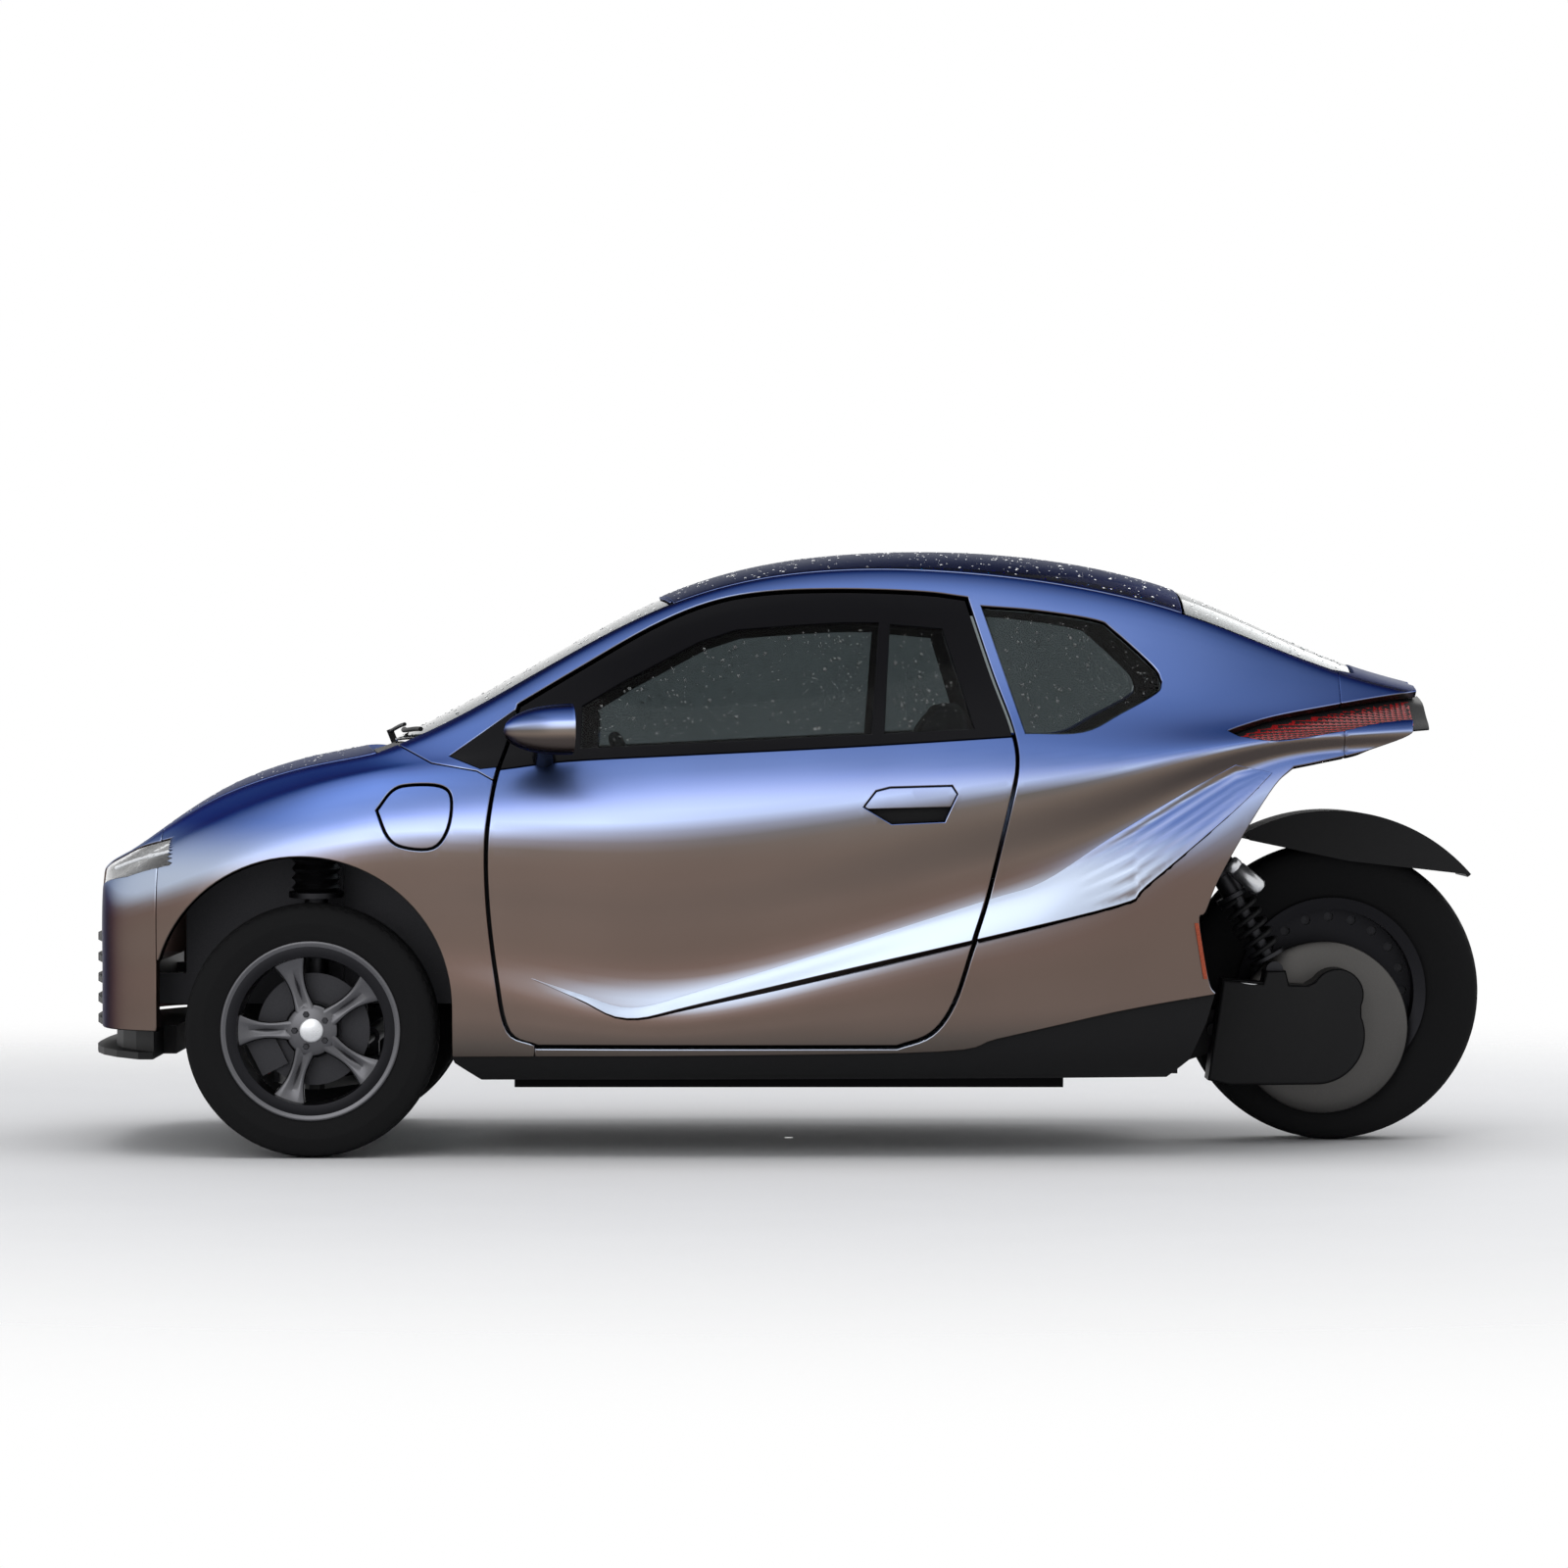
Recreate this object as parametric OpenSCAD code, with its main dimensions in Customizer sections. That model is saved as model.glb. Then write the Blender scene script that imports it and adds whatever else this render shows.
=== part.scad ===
// Three-wheeled electric coupe with two steered front wheels and one driven rear wheel on a swing arm.
// +X points to the tail, +Y to the right side and +Z up. The origin is on the ground, halfway along the car.

/* [Body] */
// Half of the body's width at the doors
half_w = 730; // [715:1:745]
// Thickness of a body wall or door
wall = 46; // [36:1:52]
// Thickness of the window panes
glass_t = 5; // [4:0.5:7]
// How far the panes lie inside the painted surface
glass_in = 6; // [4:0.5:9]
// Gap round a door
door_gap = 8; // [7:0.5:10]
// Gap round the bonnet and the hatch
lid_gap = 6; // [5:0.5:8]
// Joint between two fixed panels
seam = 0.6; // [0.4:0.1:0.9]
// Height of the black skirt's lower edge
skirt_z = 158; // [150:1:170]
// Length of the steel pins in the door hinges
hinge_len = 90; // [80:1:96]
// Radius of those pins
hinge_r = 5; // [4:0.5:5.5]

/* [Front wheels] */
// Front axle behind the origin
front_x = -1069; // [-1075:1:-1063]
// Distance between the two front tyres' middle planes
track = 1220; // [1200:1:1236]
// Outer diameter of a front tyre
front_d = 570; // [560:1:580]
// Width of a front tyre
front_tyre_w = 165; // [150:1:175]
// Radius of the front rim's bead seat
front_seat_r = 178; // [174:1:182]
// Number of spokes
spokes = 5; // [5:1:6]
// Radius of the stub axles
stub_r = 16; // [14:0.5:18]
// Radius of a front brake disc
front_disc_r = 126; // [115:1:132]

/* [Rear wheel] */
// Rear axle behind the origin
rear_x = 1264; // [1260:1:1268]
// Outer diameter of the rear tyre
rear_d = 693; // [680:1:700]
// Width of the rear tyre
rear_tyre_w = 205; // [185:1:215]
// Radius of the rear rim's bead seat
rear_seat_r = 204; // [198:1:208]
// Number of round holes in the rear wheel's disc
rear_holes = 20; // [14:1:24]
// Radius of the rear axle
axle_r = 18; // [16:0.5:20]

/* [Steering and chassis] */
// Kingpin's distance from the centre plane at its lower end
kingpin_low_y = 548; // [544:1:552]
// Kingpin's distance from the centre plane at its upper end
kingpin_top_y = 507; // [503:1:511]
// Height of the strut's upper seat
tower_z = 780; // [770:1:790]
// Radius of the strut's damper tube
damper_r = 27; // [24:1:30]
// Steering arm's length behind the kingpin
steer_arm = 105; // [95:1:112]
// Radius of the steering rack
rack_r = 12; // [10:0.5:14]
// Steering wheel's radius
wheel_r = 178; // [165:1:188]
// Width of the battery block
battery_w = 1040; // [960:1:1100]

/* [Hidden] */
$fn = 48;

front_r = front_d / 2;
rear_r = rear_d / 2;
wheel_y = track / 2;
fit = 0.05;
rest_gap = 0.3;
steel = "dimgray";
paint = "lightsteelblue";
black = "#1a1a1c";
dark_glass = [0.12, 0.16, 0.18, 0.6];

// Body sections from nose to tail. x: place; zt: crown height; ye, ze: bonnet or roof edge; yb, zb: belt line;
// in: how much narrower than half_w at the shoulder; tuck: how far the waist draws in; zc, zl: upper and lower
// edge of the flank's ledge; d: how far the ledge stands out.
SECTIONS = [
    // x, zt, ye, ze, yb, zb, in, tuck, zc, zl, d
    [-1578, 640, 0, 622, 0, 588, half_w, 0, 420, 360, 0],
    [-1578, 646, 250, 628, 280, 590, 430, 10, 420, 360, 0],
    [-1556, 664, 420, 648, 470, 606, 225, 10, 420, 360, 0],
    [-1495, 690, 480, 676, 555, 635, 118, 10, 425, 360, 0],
    [-1400, 766, 500, 742, 600, 690, 54, 10, 430, 365, 0],
    [-1270, 850, 520, 818, 628, 758, 18, 10, 440, 370, 0],
    [-1100, 902, 545, 872, 645, 822, 2, 12, 450, 380, 0],
    [-980, 918, 565, 892, 650, 852, 0, 16, 460, 390, 0],
    [-900, 950, 578, 908, 652, 866, 0, 20, 465, 395, 0],
    [-760, 1022, 575, 965, 655, 874, 0, 26, 460, 400, 2],
    [-560, 1132, 555, 1085, 660, 884, 0, 30, 420, 365, 10],
    [-330, 1262, 530, 1215, 664, 898, 0, 32, 372, 314, 26],
    [-100, 1341, 512, 1295, 668, 910, 0, 34, 400, 350, 34],
    [150, 1371, 505, 1318, 668, 924, 0, 34, 476, 420, 36],
    [420, 1374, 500, 1306, 662, 942, 2, 34, 572, 490, 38],
    [680, 1345, 485, 1268, 645, 952, 15, 34, 672, 552, 40],
    [900, 1290, 462, 1215, 612, 958, 42, 32, 812, 700, 40],
    [1100, 1194, 440, 1135, 572, 966, 90, 24, 900, 870, 30],
    [1290, 1108, 420, 1066, 525, 980, 150, 16, 912, 884, 20],
    [1450, 1066, 400, 1036, 480, 990, 200, 12, 920, 890, 16]];
SILL_Z = 165;
// Way inwards of each control point round a half section, from the crown to the floor
INWARD = [[0, -1], [0, -1], [-0.2, -1], [-0.75, -0.75], [-1, -0.25], [-1, -0.2], [-1, -0.15], [-1, 0], [-1, 0],
    [-1, 0], [-1, 0], [-1, 0], [-1, 0.3], [-0.3, 1], [0, 1]];
RAILS = len(INWARD);
LAST = len(SECTIONS) - 1;
NOSE_START = -1250;
NOSE_RUN = 330;

// Control points of one half section, drawn in by t
function section(s, t) =
    let (x = s[0], zt = s[1], ye = s[2], ze = s[3], yb = s[4], zb = s[5], ys = half_w - s[6], zc = s[8],
        zl = s[9])
    let (share = ys / half_w, ym = ys - s[7] * share, z1 = zt - 0.2 * (zt - ze))
    let (outer = [[0, zt + (zt - z1) / 2], [0.6 * ye, z1], [0.89 * ye, ze + 0.3 * (zt - ze)], [ye, ze],
        [ye + 0.22 * (yb - ye), ze - 0.26 * (ze - zb)], [ye + 0.74 * (yb - ye), ze - 0.8 * (ze - zb)],
        [yb + 10 * share, zb], [ys, zb - 0.32 * (zb - zc)], [ym + 4 * share, zb - 0.72 * (zb - zc)],
        [ym - 4 * share, zc], [ym + s[10], zl], [ym + s[10] - 8 * share, (zl + SILL_Z) / 2],
        [ym + s[10] - 34 * share, SILL_Z], [0.7 * ys, SILL_Z - 40], [0, SILL_Z - 40]])
    let (nose = max(0, min(1, (NOSE_START - x) / NOSE_RUN)))
    [for (k = [0:RAILS - 1])
        [x + t * nose, share == 0 ? 0 : max(0, outer[k][0] + t * INWARD[k][0] * share),
            outer[k][1] + t * INWARD[k][1]]];

function flipped(p) = [p[0], -p[1], p[2]];
// Cubic B-spline through four neighbours at t from 0 to 1
function blend(a, b, c, d, t) =
    (pow(1 - t, 3) * a + (3 * pow(t, 3) - 6 * t * t + 4) * b + (-3 * pow(t, 3) + 3 * t * t + 3 * t + 1) * c
        + pow(t, 3) * d) / 6;
function row(net, i) = i < 0 ? [for (p = net[1]) flipped(p)] : i > LAST ? 2 * net[LAST] - net[LAST - 1] : net[i];
function column(line, j) = j < 0 ? flipped(line[1]) : j >= RAILS ? flipped(line[RAILS - 2]) : line[j];
function along(net, u) =
    let (i = min(floor(u), LAST - 1))
    blend(row(net, i - 1), row(net, i), row(net, i + 1), row(net, i + 2), u - i);
function around(line, v) =
    let (j = min(floor(v), RAILS - 2))
    blend(column(line, j - 1), column(line, j), column(line, j + 1), column(line, j + 2), v - j);

// The body's outer surface as a closed solid, drawn in by t, with so many steps from one section to the next
module skin(t, steps) {
    net = [for (s = SECTIONS) section(s, t)];
    us = LAST * steps;
    vs = (RAILS - 1) * steps;
    ring = 2 * vs;
    points = [for (i = [0:us])
        let (line = along(net, i / steps))
        for (j = [0:ring - 1]) let (p = around(line,
            (j <= vs ? j : ring - j) / steps)) j <= vs ? p : flipped(p)];
    function at(i, j) = i == 0 && j > vs ? ring - j : i * ring + j % ring;
    sides = [for (i = [0:us - 1]) for (j = [0:ring - 1])
        let (a = at(i, j), b = at(i, (j + 1) % ring), c = at(i + 1, (j + 1) % ring), d = at(i + 1, j))
        each [[a, b, c], [a, c, d]]];
    polyhedron(points, concat(sides, [[for (j = [0:ring - 1]) at(us, j)]]), convexity = 12);
}

// Curve through a few points, with n steps from one to the next
function smooth(pts, n = 2) =
    let (m = len(pts) - 1)
    concat([for (i = [0:m - 1]) for (k = [0:n - 1])
        let (t = k / n, b = pts[i], c = pts[i + 1], a = i > 0 ? pts[i - 1] : 2 * b - c)
        let (d = i < m - 1 ? pts[i + 2] : 2 * c - b)
        0.5 * (2 * b + (c - a) * t + (2 * a - 5 * b + 4 * c - d) * t * t + (3 * b - a - 3 * c + d) * pow(t,
            3))],
        [pts[m]]);
function mirrored(pts) = [for (i = [len(pts) - 1:-1:0]) [pts[i][0], -pts[i][1]]];

// Side-view outlines, x and z
BELT = [[-900, 905], [-794, 880], [-697, 868], [-634, 875], [-491, 892], [-246, 905], [121, 923], [504,
    947], [720, 962]];
DOOR_FRONT = [[-560, 254], [-622, 285], [-648, 402], [-667, 560], [-670, 710], [-652, 845], [-626, 930],
    [-604, 1010]];
DOOR_TOP = [[-604, 1010], [-477, 1086], [-310, 1183], [-180, 1238], [-53, 1262], [121, 1268], [300, 1262],
    [398, 1250]];
DOOR_REAR = [[398, 1250], [451, 1085], [494, 965], [506, 882], [486, 773], [438, 577], [403, 466], [364, 350],
    [315, 283], [240, 254]];
PANE_FRONT = [[-466, 918], [-464, 1012], [-378, 1064], [-203, 1156], [-118, 1184], [12, 1194], [120, 1200],
    [202, 1200], [184, 950]];
PANE_REAR = [[228, 1196], [345, 1186], [415, 962], [214, 952]];
QUARTER_TOP = [[436, 1236], [560, 1226], [693, 1205], [733, 1182], [821, 1101], [840, 1066]];
QUARTER_LOW = [[840, 1066], [827, 1042], [744, 996], [658, 955], [530, 952]];
SAIL = [[-760, 900], [-690, 872], [-636, 878], [-600, 1015]];
SILL_EDGE = [[-755, 226], [-200, 230], [338, 239], [462, 267], [608, 300], [733, 328], [855, 350], [957, 366]];
REAR_EDGE = [[957, 366], [939, 397], [917, 529], [931, 551], [961, 624], [1025, 736], [1089, 833], [1133, 875]];
TAIL_LOW = [[1133, 875], [1186, 885], [1303, 911], [1400, 945], [1410, 976], [1438, 1058]];
LAMP_TOP = [[984, 957], [1088, 987], [1228, 1013], [1347, 1033], [1500, 1054]];
LAMP_LOW = [[1500, 992], [1336, 976], [1226, 953], [1099, 934], [1008, 946]];
FLAP = [[-916, 778], [-884, 820], [-846, 832], [-781, 830], [-756, 806], [-762, 740], [-794, 697], [-859, 699],
    [-892, 722]];
HANDLE = [[166, 786], [194, 822], [225, 830], [364, 834], [376, 815], [347, 753], [229, 748]];
NOSE_SEAM = -1417;
BUMPER_Z = 282;
ARCH_X = front_x - 21;
ARCH_Z = front_r + 52;
ARCH_R = front_r + 53;

// Plan outlines, x and y, of one half
HOOD_SIDE = [[-1528, 0], [-1520, 200], [-1490, 380], [-1430, 448], [-1270, 492], [-1100, 520], [-930, 548]];
HOOD_REAR = [[-930, 548], [-958, 350], [-985, 0]];
SCREEN_LOW = [[-920, 0], [-905, 300], [-842, 528]];
SCREEN_SIDE = [[-842, 528], [-560, 512], [-268, 482]];
SCREEN_TOP = [[-268, 482], [-296, 250], [-305, 0]];
ROOF_SIDE = [[-262, 484], [-100, 476], [150, 470], [420, 466], [680, 452], [892, 432]];
HATCH_SIDE = [[900, 430], [1100, 408], [1240, 390]];
HATCH_END = 1296;
TAIL_BOW = 230;
TAIL_X = 1438;
TAIL_SEAM = 1250;

module mesh() { resize([0, 0, 0]) children(); }
module across(y0 = -1000, y1 = 1000) { translate([0, y1, 0]) rotate([90, 0,
    0]) linear_extrude(y1 - y0) children(); }
module upright(z0 = 500, z1 = 1500) { translate([0, 0, z0]) linear_extrude(z1 - z0) children(); }
module left() { mirror([0, 1, 0]) children(); }
module both() { children(); left() children(); }
module halved(side) { translate([-2000, side > 0 ? 60 : -1060, 0]) cube([4000, 1000, 1600]); }

module door_2d(grow = 0) {
    offset(delta = grow)
        polygon(concat(smooth(DOOR_FRONT), smooth(DOOR_TOP), smooth(DOOR_REAR)));
}
module above_belt_2d(lift = 0) {
    polygon(concat([for (p = smooth(BELT)) p + [0, lift]], [[720, 1500], [-900, 1500]]));
}
module quarter_2d(grow = 0) {
    offset(delta = grow)
        polygon(concat(smooth(QUARTER_TOP), smooth(QUARTER_LOW)));
}
module panes_2d(grow = 0) {
    offset(r = 12 + grow, $fn = 16) offset(delta = -12) {
        polygon(PANE_FRONT);
        polygon(PANE_REAR);
    }
}
module hood_2d(grow = 0) {
    half = concat(smooth(HOOD_SIDE), smooth(HOOD_REAR));
    offset(delta = grow) polygon(concat(half, mirrored(half)));
}
module screen_2d(grow = 0) {
    half = concat(smooth(SCREEN_LOW), SCREEN_SIDE, smooth(SCREEN_TOP));
    offset(delta = grow) polygon(concat(half, mirrored(half)));
}
module scuttle_2d(grow = 0) {
    hood_edge = [for (p = smooth(HOOD_REAR)) p + [lid_gap + seam, 0]];
    half = concat([for (p = smooth(SCREEN_LOW)) p - [seam, 0]], hood_edge);
    offset(delta = grow) polygon(concat(half, mirrored(half)));
}
module roof_2d(grow = 0) {
    half = concat([[-300, 0], [-290, 250]], smooth(ROOF_SIDE), [[898, 428], [898, 0]]);
    offset(delta = grow) polygon(concat(half, mirrored(half)));
}
module hatch_2d(grow = 0) {
    half = concat([[900, 0]], smooth(HATCH_SIDE), [[HATCH_END - 12, 350], [HATCH_END, 0]]);
    offset(delta = grow) polygon(concat(half, mirrored(half)));
}
module lamp_2d(grow = 0) {
    offset(delta = grow) polygon(concat(smooth(LAMP_TOP), smooth(LAMP_LOW)));
}
module arch_2d(grow = 0) {
    translate([ARCH_X, ARCH_Z]) circle(ARCH_R + grow, $fn = 40);
    translate([ARCH_X - ARCH_R - grow, -50]) square([2 * (ARCH_R + grow), ARCH_Z + 50]);
}
// All that is painted, seen from the side
module body_2d() {
    polygon(concat([[-1700, BUMPER_Z], [-1300, BUMPER_Z]], smooth(SILL_EDGE), smooth(REAR_EDGE),
        smooth(TAIL_LOW), [[1438, 1500], [-1700, 1500]]));
}
module plan_2d() {
    rear = [for (y = [-700:100:700]) [TAIL_X - TAIL_BOW * pow(y / 1000, 2), y]];
    polygon(concat([[-1700, -1000]], [[1300, -1000]], rear, [[1300, 1000]], [[-1700, 1000]]));
}
// Layer between two depths; thin ones take the fine steps on both faces
module shell(outside, inside, inner_steps = 1, outer_steps = 2) {
    difference() {
        skin(outside, outer_steps);
        skin(inside, inner_steps);
    }
}
// The painted shell with the arches and the outer edges cut
module painted() {
    difference() {
        intersection() {
            shell(0, wall);
            across() body_2d();
            upright(0) plan_2d();
        }
        across() arch_2d();
    }
}
module wing_zone_2d(grow = 0) {
    edge = [for (p = smooth(DOOR_FRONT)) if (p[1] < 850) p - [door_gap, 0]];
    offset(delta = grow)
        polygon(concat([[-560 - door_gap, 100]], edge, [[-697, 866], [-800, 884], [-880, 925], [-880, 1500],
            [NOSE_SEAM, 1500], [NOSE_SEAM, 100]]));
}

// Lamp in the nose's corner, seen from ahead
module headlamp_2d(grow = 0) {
    offset(r = 14 + grow, $fn = 12) offset(delta = -14)
        polygon([[330, 600], [560, 628], [660, 664], [668, 726], [600, 728], [470, 690], [340, 655]]);
}
module headlamp_cut(grow = 0) {
    both() rotate([90, 0, 90]) translate([0, 0, -1600]) linear_extrude(215) headlamp_2d(grow);
}

module wing(side) {
    color(paint) mesh() difference() {
        intersection() {
            painted();
            across() wing_zone_2d(-seam / 2);
            halved(side);
        }
        upright() hood_2d(lid_gap);
        upright() scuttle_2d(seam);
        upright() screen_2d(seam);
        headlamp_cut(seam);
        if (side < 0) across(-1000, 0) flap_2d(6);
    }
}

module body_side(side) {
    color(paint) mesh() difference() {
        intersection() {
            painted();
            across() difference() {
                translate([-880, 0]) square([TAIL_SEAM + 880, 1500]);
                wing_zone_2d(seam / 2);
            }
            halved(side);
        }
        across() door_2d(door_gap);
        across() quarter_2d(seam);
        across() polygon(SAIL);
        across() lamp_2d(seam);
        upright() roof_2d(seam);
        upright() screen_2d(seam);
        upright() scuttle_2d(seam);
        upright() hatch_2d(lid_gap);
    }
}

// Hatch hinges: two barrels on the roof's rear edge, pins in the hatch's ears
HATCH_PIN = [897, 140, 1283];
HATCH_PIN_R = 4;
EAR_GAP = 12;
EAR_T = 10;
EAR_ROOM = EAR_GAP + EAR_T + 5;
module hatch_foot(grow) {
    translate([862 - grow, HATCH_PIN[1] - 7 - grow, 1262 - grow]) cube([38 + 2 * grow, 14 + 2 * grow, 21]);
}
module roof() {
    color(paint) {
        mesh() difference() {
            intersection() {
                shell(0, wall);
                upright(1100) difference() {
                    roof_2d();
                    screen_2d(seam);
                    hatch_2d(lid_gap);
                }
            }
            across() door_2d(door_gap);
            both() {
                translate([0, 0, 10]) hatch_foot(rest_gap);
                hatch_foot(rest_gap);
                translate([HATCH_PIN[0] - 15, HATCH_PIN[1] - EAR_ROOM, 1200]) cube([40, 2 * EAR_ROOM, 120]);
            }
        }
        both() difference() {
            union() {
                hatch_foot(0);
                translate(HATCH_PIN) rotate([90, 0, 0]) cylinder(r = 7, h = 14, center = true);
            }
            translate(HATCH_PIN) rotate([90, 0, 0]) cylinder(r = HATCH_PIN_R + fit, h = 60, center = true);
        }
    }
}
module hatch_notches() {
    both() translate([880, HATCH_PIN[1] - EAR_GAP, 1200]) cube([34, 2 * EAR_GAP, 120]);
}

module nose_panel() {
    color(paint) mesh() difference() {
        intersection() {
            painted();
            across() translate([-1700, 100]) square([1700 + NOSE_SEAM - seam / 2, 1400]);
        }
        upright() hood_2d(lid_gap);
        headlamp_cut(seam);
        translate([-1650, -GRILLE_W - seam, 200]) cube([130, 2 * (GRILLE_W + seam), GRILLE_TOP + seam - 200]);
    }
}

// Hood hinges: pins along Y at its rear corners
LID_PIN_R = 6;
HOOD_PIN = [-930, 470, 896];
HOOD_AXIS = [HOOD_PIN[0], HOOD_PIN[2]];
STRAP_GAP = 13;
STRAP_T = 9;
module hood() {
    color(paint) {
        mesh() difference() {
            union() {
                intersection() {
                    shell(0, wall / 2);
                    upright() hood_2d();
                }
                difference() {
                    both() for (dy = [-STRAP_GAP - STRAP_T, STRAP_GAP])
                        across(HOOD_PIN[1] + dy, HOOD_PIN[1] + dy + STRAP_T) polygon([HOOD_AXIS + [10, -10],
                            HOOD_AXIS + [10, 6], HOOD_AXIS + [-10, 14], HOOD_AXIS + [-90, 0],
                                HOOD_AXIS + [-90, -22]]);
                    difference() {
                        upright() square(4000, center = true);
                        skin(wall / 4, 2);
                    }
                }
            }
            both() translate(HOOD_PIN) rotate([90, 0, 0]) cylinder(r = LID_PIN_R + rest_gap, h = 100,
                center = true, $fn = 16);
        }
        both() translate(HOOD_PIN) rotate([90, 0, 0])
            cylinder(r = LID_PIN_R, h = 2 * (STRAP_GAP + STRAP_T), center = true);
    }
}

module windscreen() {
    color(dark_glass) mesh() intersection() {
        shell(glass_in, glass_in + glass_t, 2);
        upright() screen_2d();
    }
}

SCUTTLE_IN = 16;
module scuttle() {
    color(black) mesh() difference() {
        intersection() {
            shell(SCUTTLE_IN, wall - 8, 2);
            upright() scuttle_2d();
        }
        both() translate([HOOD_PIN[0] - 40, HOOD_PIN[1] - 36, 800]) cube([62, 72, 200]);
    }
}

// Door hinge: a vertical pin in a notch of the door, between two barrels on the A-post
DOOR_PIN = [-620, 700, 660];
HINGE_SKIN = 708.4;
HANDLE_DEEP = 30;
module handle_2d(grow = 0) { offset(r = 10 + grow, $fn = 12) offset(delta = -10) polygon(HANDLE); }
module door(side) {
    notch = [100, 200, hinge_len];
    color(paint) {
        mesh() difference() {
            intersection() {
                shell(0, wall);
                across() difference() {
                    door_2d();
                    above_belt_2d(-4);
                }
                halved(side);
            }
            intersection() {
                across() handle_2d();
                shell(-20, HANDLE_DEEP);
            }
            both() translate([DOOR_PIN[0] - 70, HINGE_SKIN - 200, DOOR_PIN[2] - hinge_len / 2]) cube(notch);
        }
        translate([DOOR_PIN[0], side * DOOR_PIN[1], DOOR_PIN[2]])
            cylinder(r = hinge_r, h = hinge_len - 2 * rest_gap, center = true);
    }
}

module door_frame(side) {
    color(black) mesh() difference() {
        intersection() {
            shell(2, wall - 10);
            across() intersection() {
                door_2d();
                above_belt_2d(-4 + seam);
            }
            halved(side);
        }
        across() panes_2d();
    }
}

module door_glass(side) {
    color(dark_glass) mesh() intersection() {
        shell(glass_in, glass_in + glass_t, 2);
        across() panes_2d(-rest_gap);
        halved(side);
    }
}

module handle(side) {
    color(paint) mesh() intersection() {
        shell(2, 16, 2);
        across() intersection() {
            handle_2d(-seam);
            polygon([[100, 797], [420, 811], [420, 900], [100, 900]]);
        }
        halved(side);
    }
}

module sail_panels() {
    color(black) mesh() intersection() {
        shell(2, wall - 10);
        across() difference() {
            offset(delta = -seam) polygon(SAIL);
            door_2d(door_gap);
        }
    }
}

module quarter_glass() {
    color(dark_glass) mesh() intersection() {
        shell(glass_in, glass_in + glass_t, 2);
        across() quarter_2d();
    }
}

module hatch_frame() {
    color(black) mesh() difference() {
        intersection() {
            shell(glass_in + glass_t + 1, wall);
            upright(800) hatch_2d();
        }
        upright(700) hatch_2d(-60);
        hatch_notches();
        both() upright(700) polygon([[880, 423], [940, 416], [1000, 412], [1000, 480], [880, 480]]);
        upright(700) difference() {
            translate([1180, -500]) square([200, 1000]);
            hatch_2d(-28);
        }
    }
}

module hatch_glass() {
    color(dark_glass) {
        mesh() difference() {
            union() {
                intersection() {
                    shell(2, glass_in + glass_t + 1 - rest_gap, 2);
                    upright(800) hatch_2d();
                }
                both() for (dy = [-EAR_GAP - EAR_T, EAR_GAP])
                    across(HATCH_PIN[1] + dy, HATCH_PIN[1] + dy + EAR_T)
                        polygon([[890, 1278], [890, 1291], [904, 1291], [950, 1262], [945, 1252]]);
            }
            hatch_notches();
            both() translate(HATCH_PIN) rotate([90, 0, 0])
                cylinder(r = HATCH_PIN_R + rest_gap, h = 100, center = true, $fn = 16);
            skin(glass_in + glass_t + 1 - rest_gap, 2);
        }
        both() translate(HATCH_PIN) rotate([90, 0, 0])
            cylinder(r = HATCH_PIN_R, h = 2 * (EAR_GAP + EAR_T), center = true);
    }
}

module tail_zone(low) {
    intersection() {
        painted();
        across() translate([TAIL_SEAM + seam, low]) square([400, 700]);
    }
}

module tail_deck() {
    color(paint) mesh() difference() {
        tail_zone(900);
        upright(700) hatch_2d(lid_gap);
        across() union() {
            lamp_2d(seam);
            polygon(concat(smooth(LAMP_LOW), [[1008, 700], [1500, 700]]));
        }
    }
}

module tail_lip() {
    color(paint) mesh() difference() {
        tail_zone(800);
        across() union() {
            lamp_2d(seam);
            polygon(concat(smooth(LAMP_TOP), [[1500, 1500], [984, 1500]]));
        }
    }
}

module tail_lamps() {
    color("firebrick") mesh() intersection() {
        shell(22, wall);
        across() lamp_2d();
        upright(700) intersection() {
            plan_2d();
            translate([-18, 0]) plan_2d();
        }
    }
}

module reflectors() {
    color("orangered") mesh() intersection() {
        shell(-4, -rest_gap, 2);
        across() polygon([[905, 527], [914, 527], [935, 401], [926, 401]]);
    }
}

module side_skirts() {
    top = [for (p = smooth(SILL_EDGE)) p - [0, seam]];
    low = [[938, 300], [900, 210], [850, skirt_z + 6], [-690, skirt_z], [-748, 205]];
    color(black) mesh() intersection() {
        shell(14, wall);
        across() polygon(concat(top, low));
        both() translate([-1000, battery_w / 2 + 40, 0]) cube([2200, 500, 600]);
    }
}

module headlamps() {
    color("gainsboro") mesh() difference() {
        intersection() {
            shell(3, wall);
            headlamp_cut();
        }
        upright() hood_2d(lid_gap);
    }
}

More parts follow.
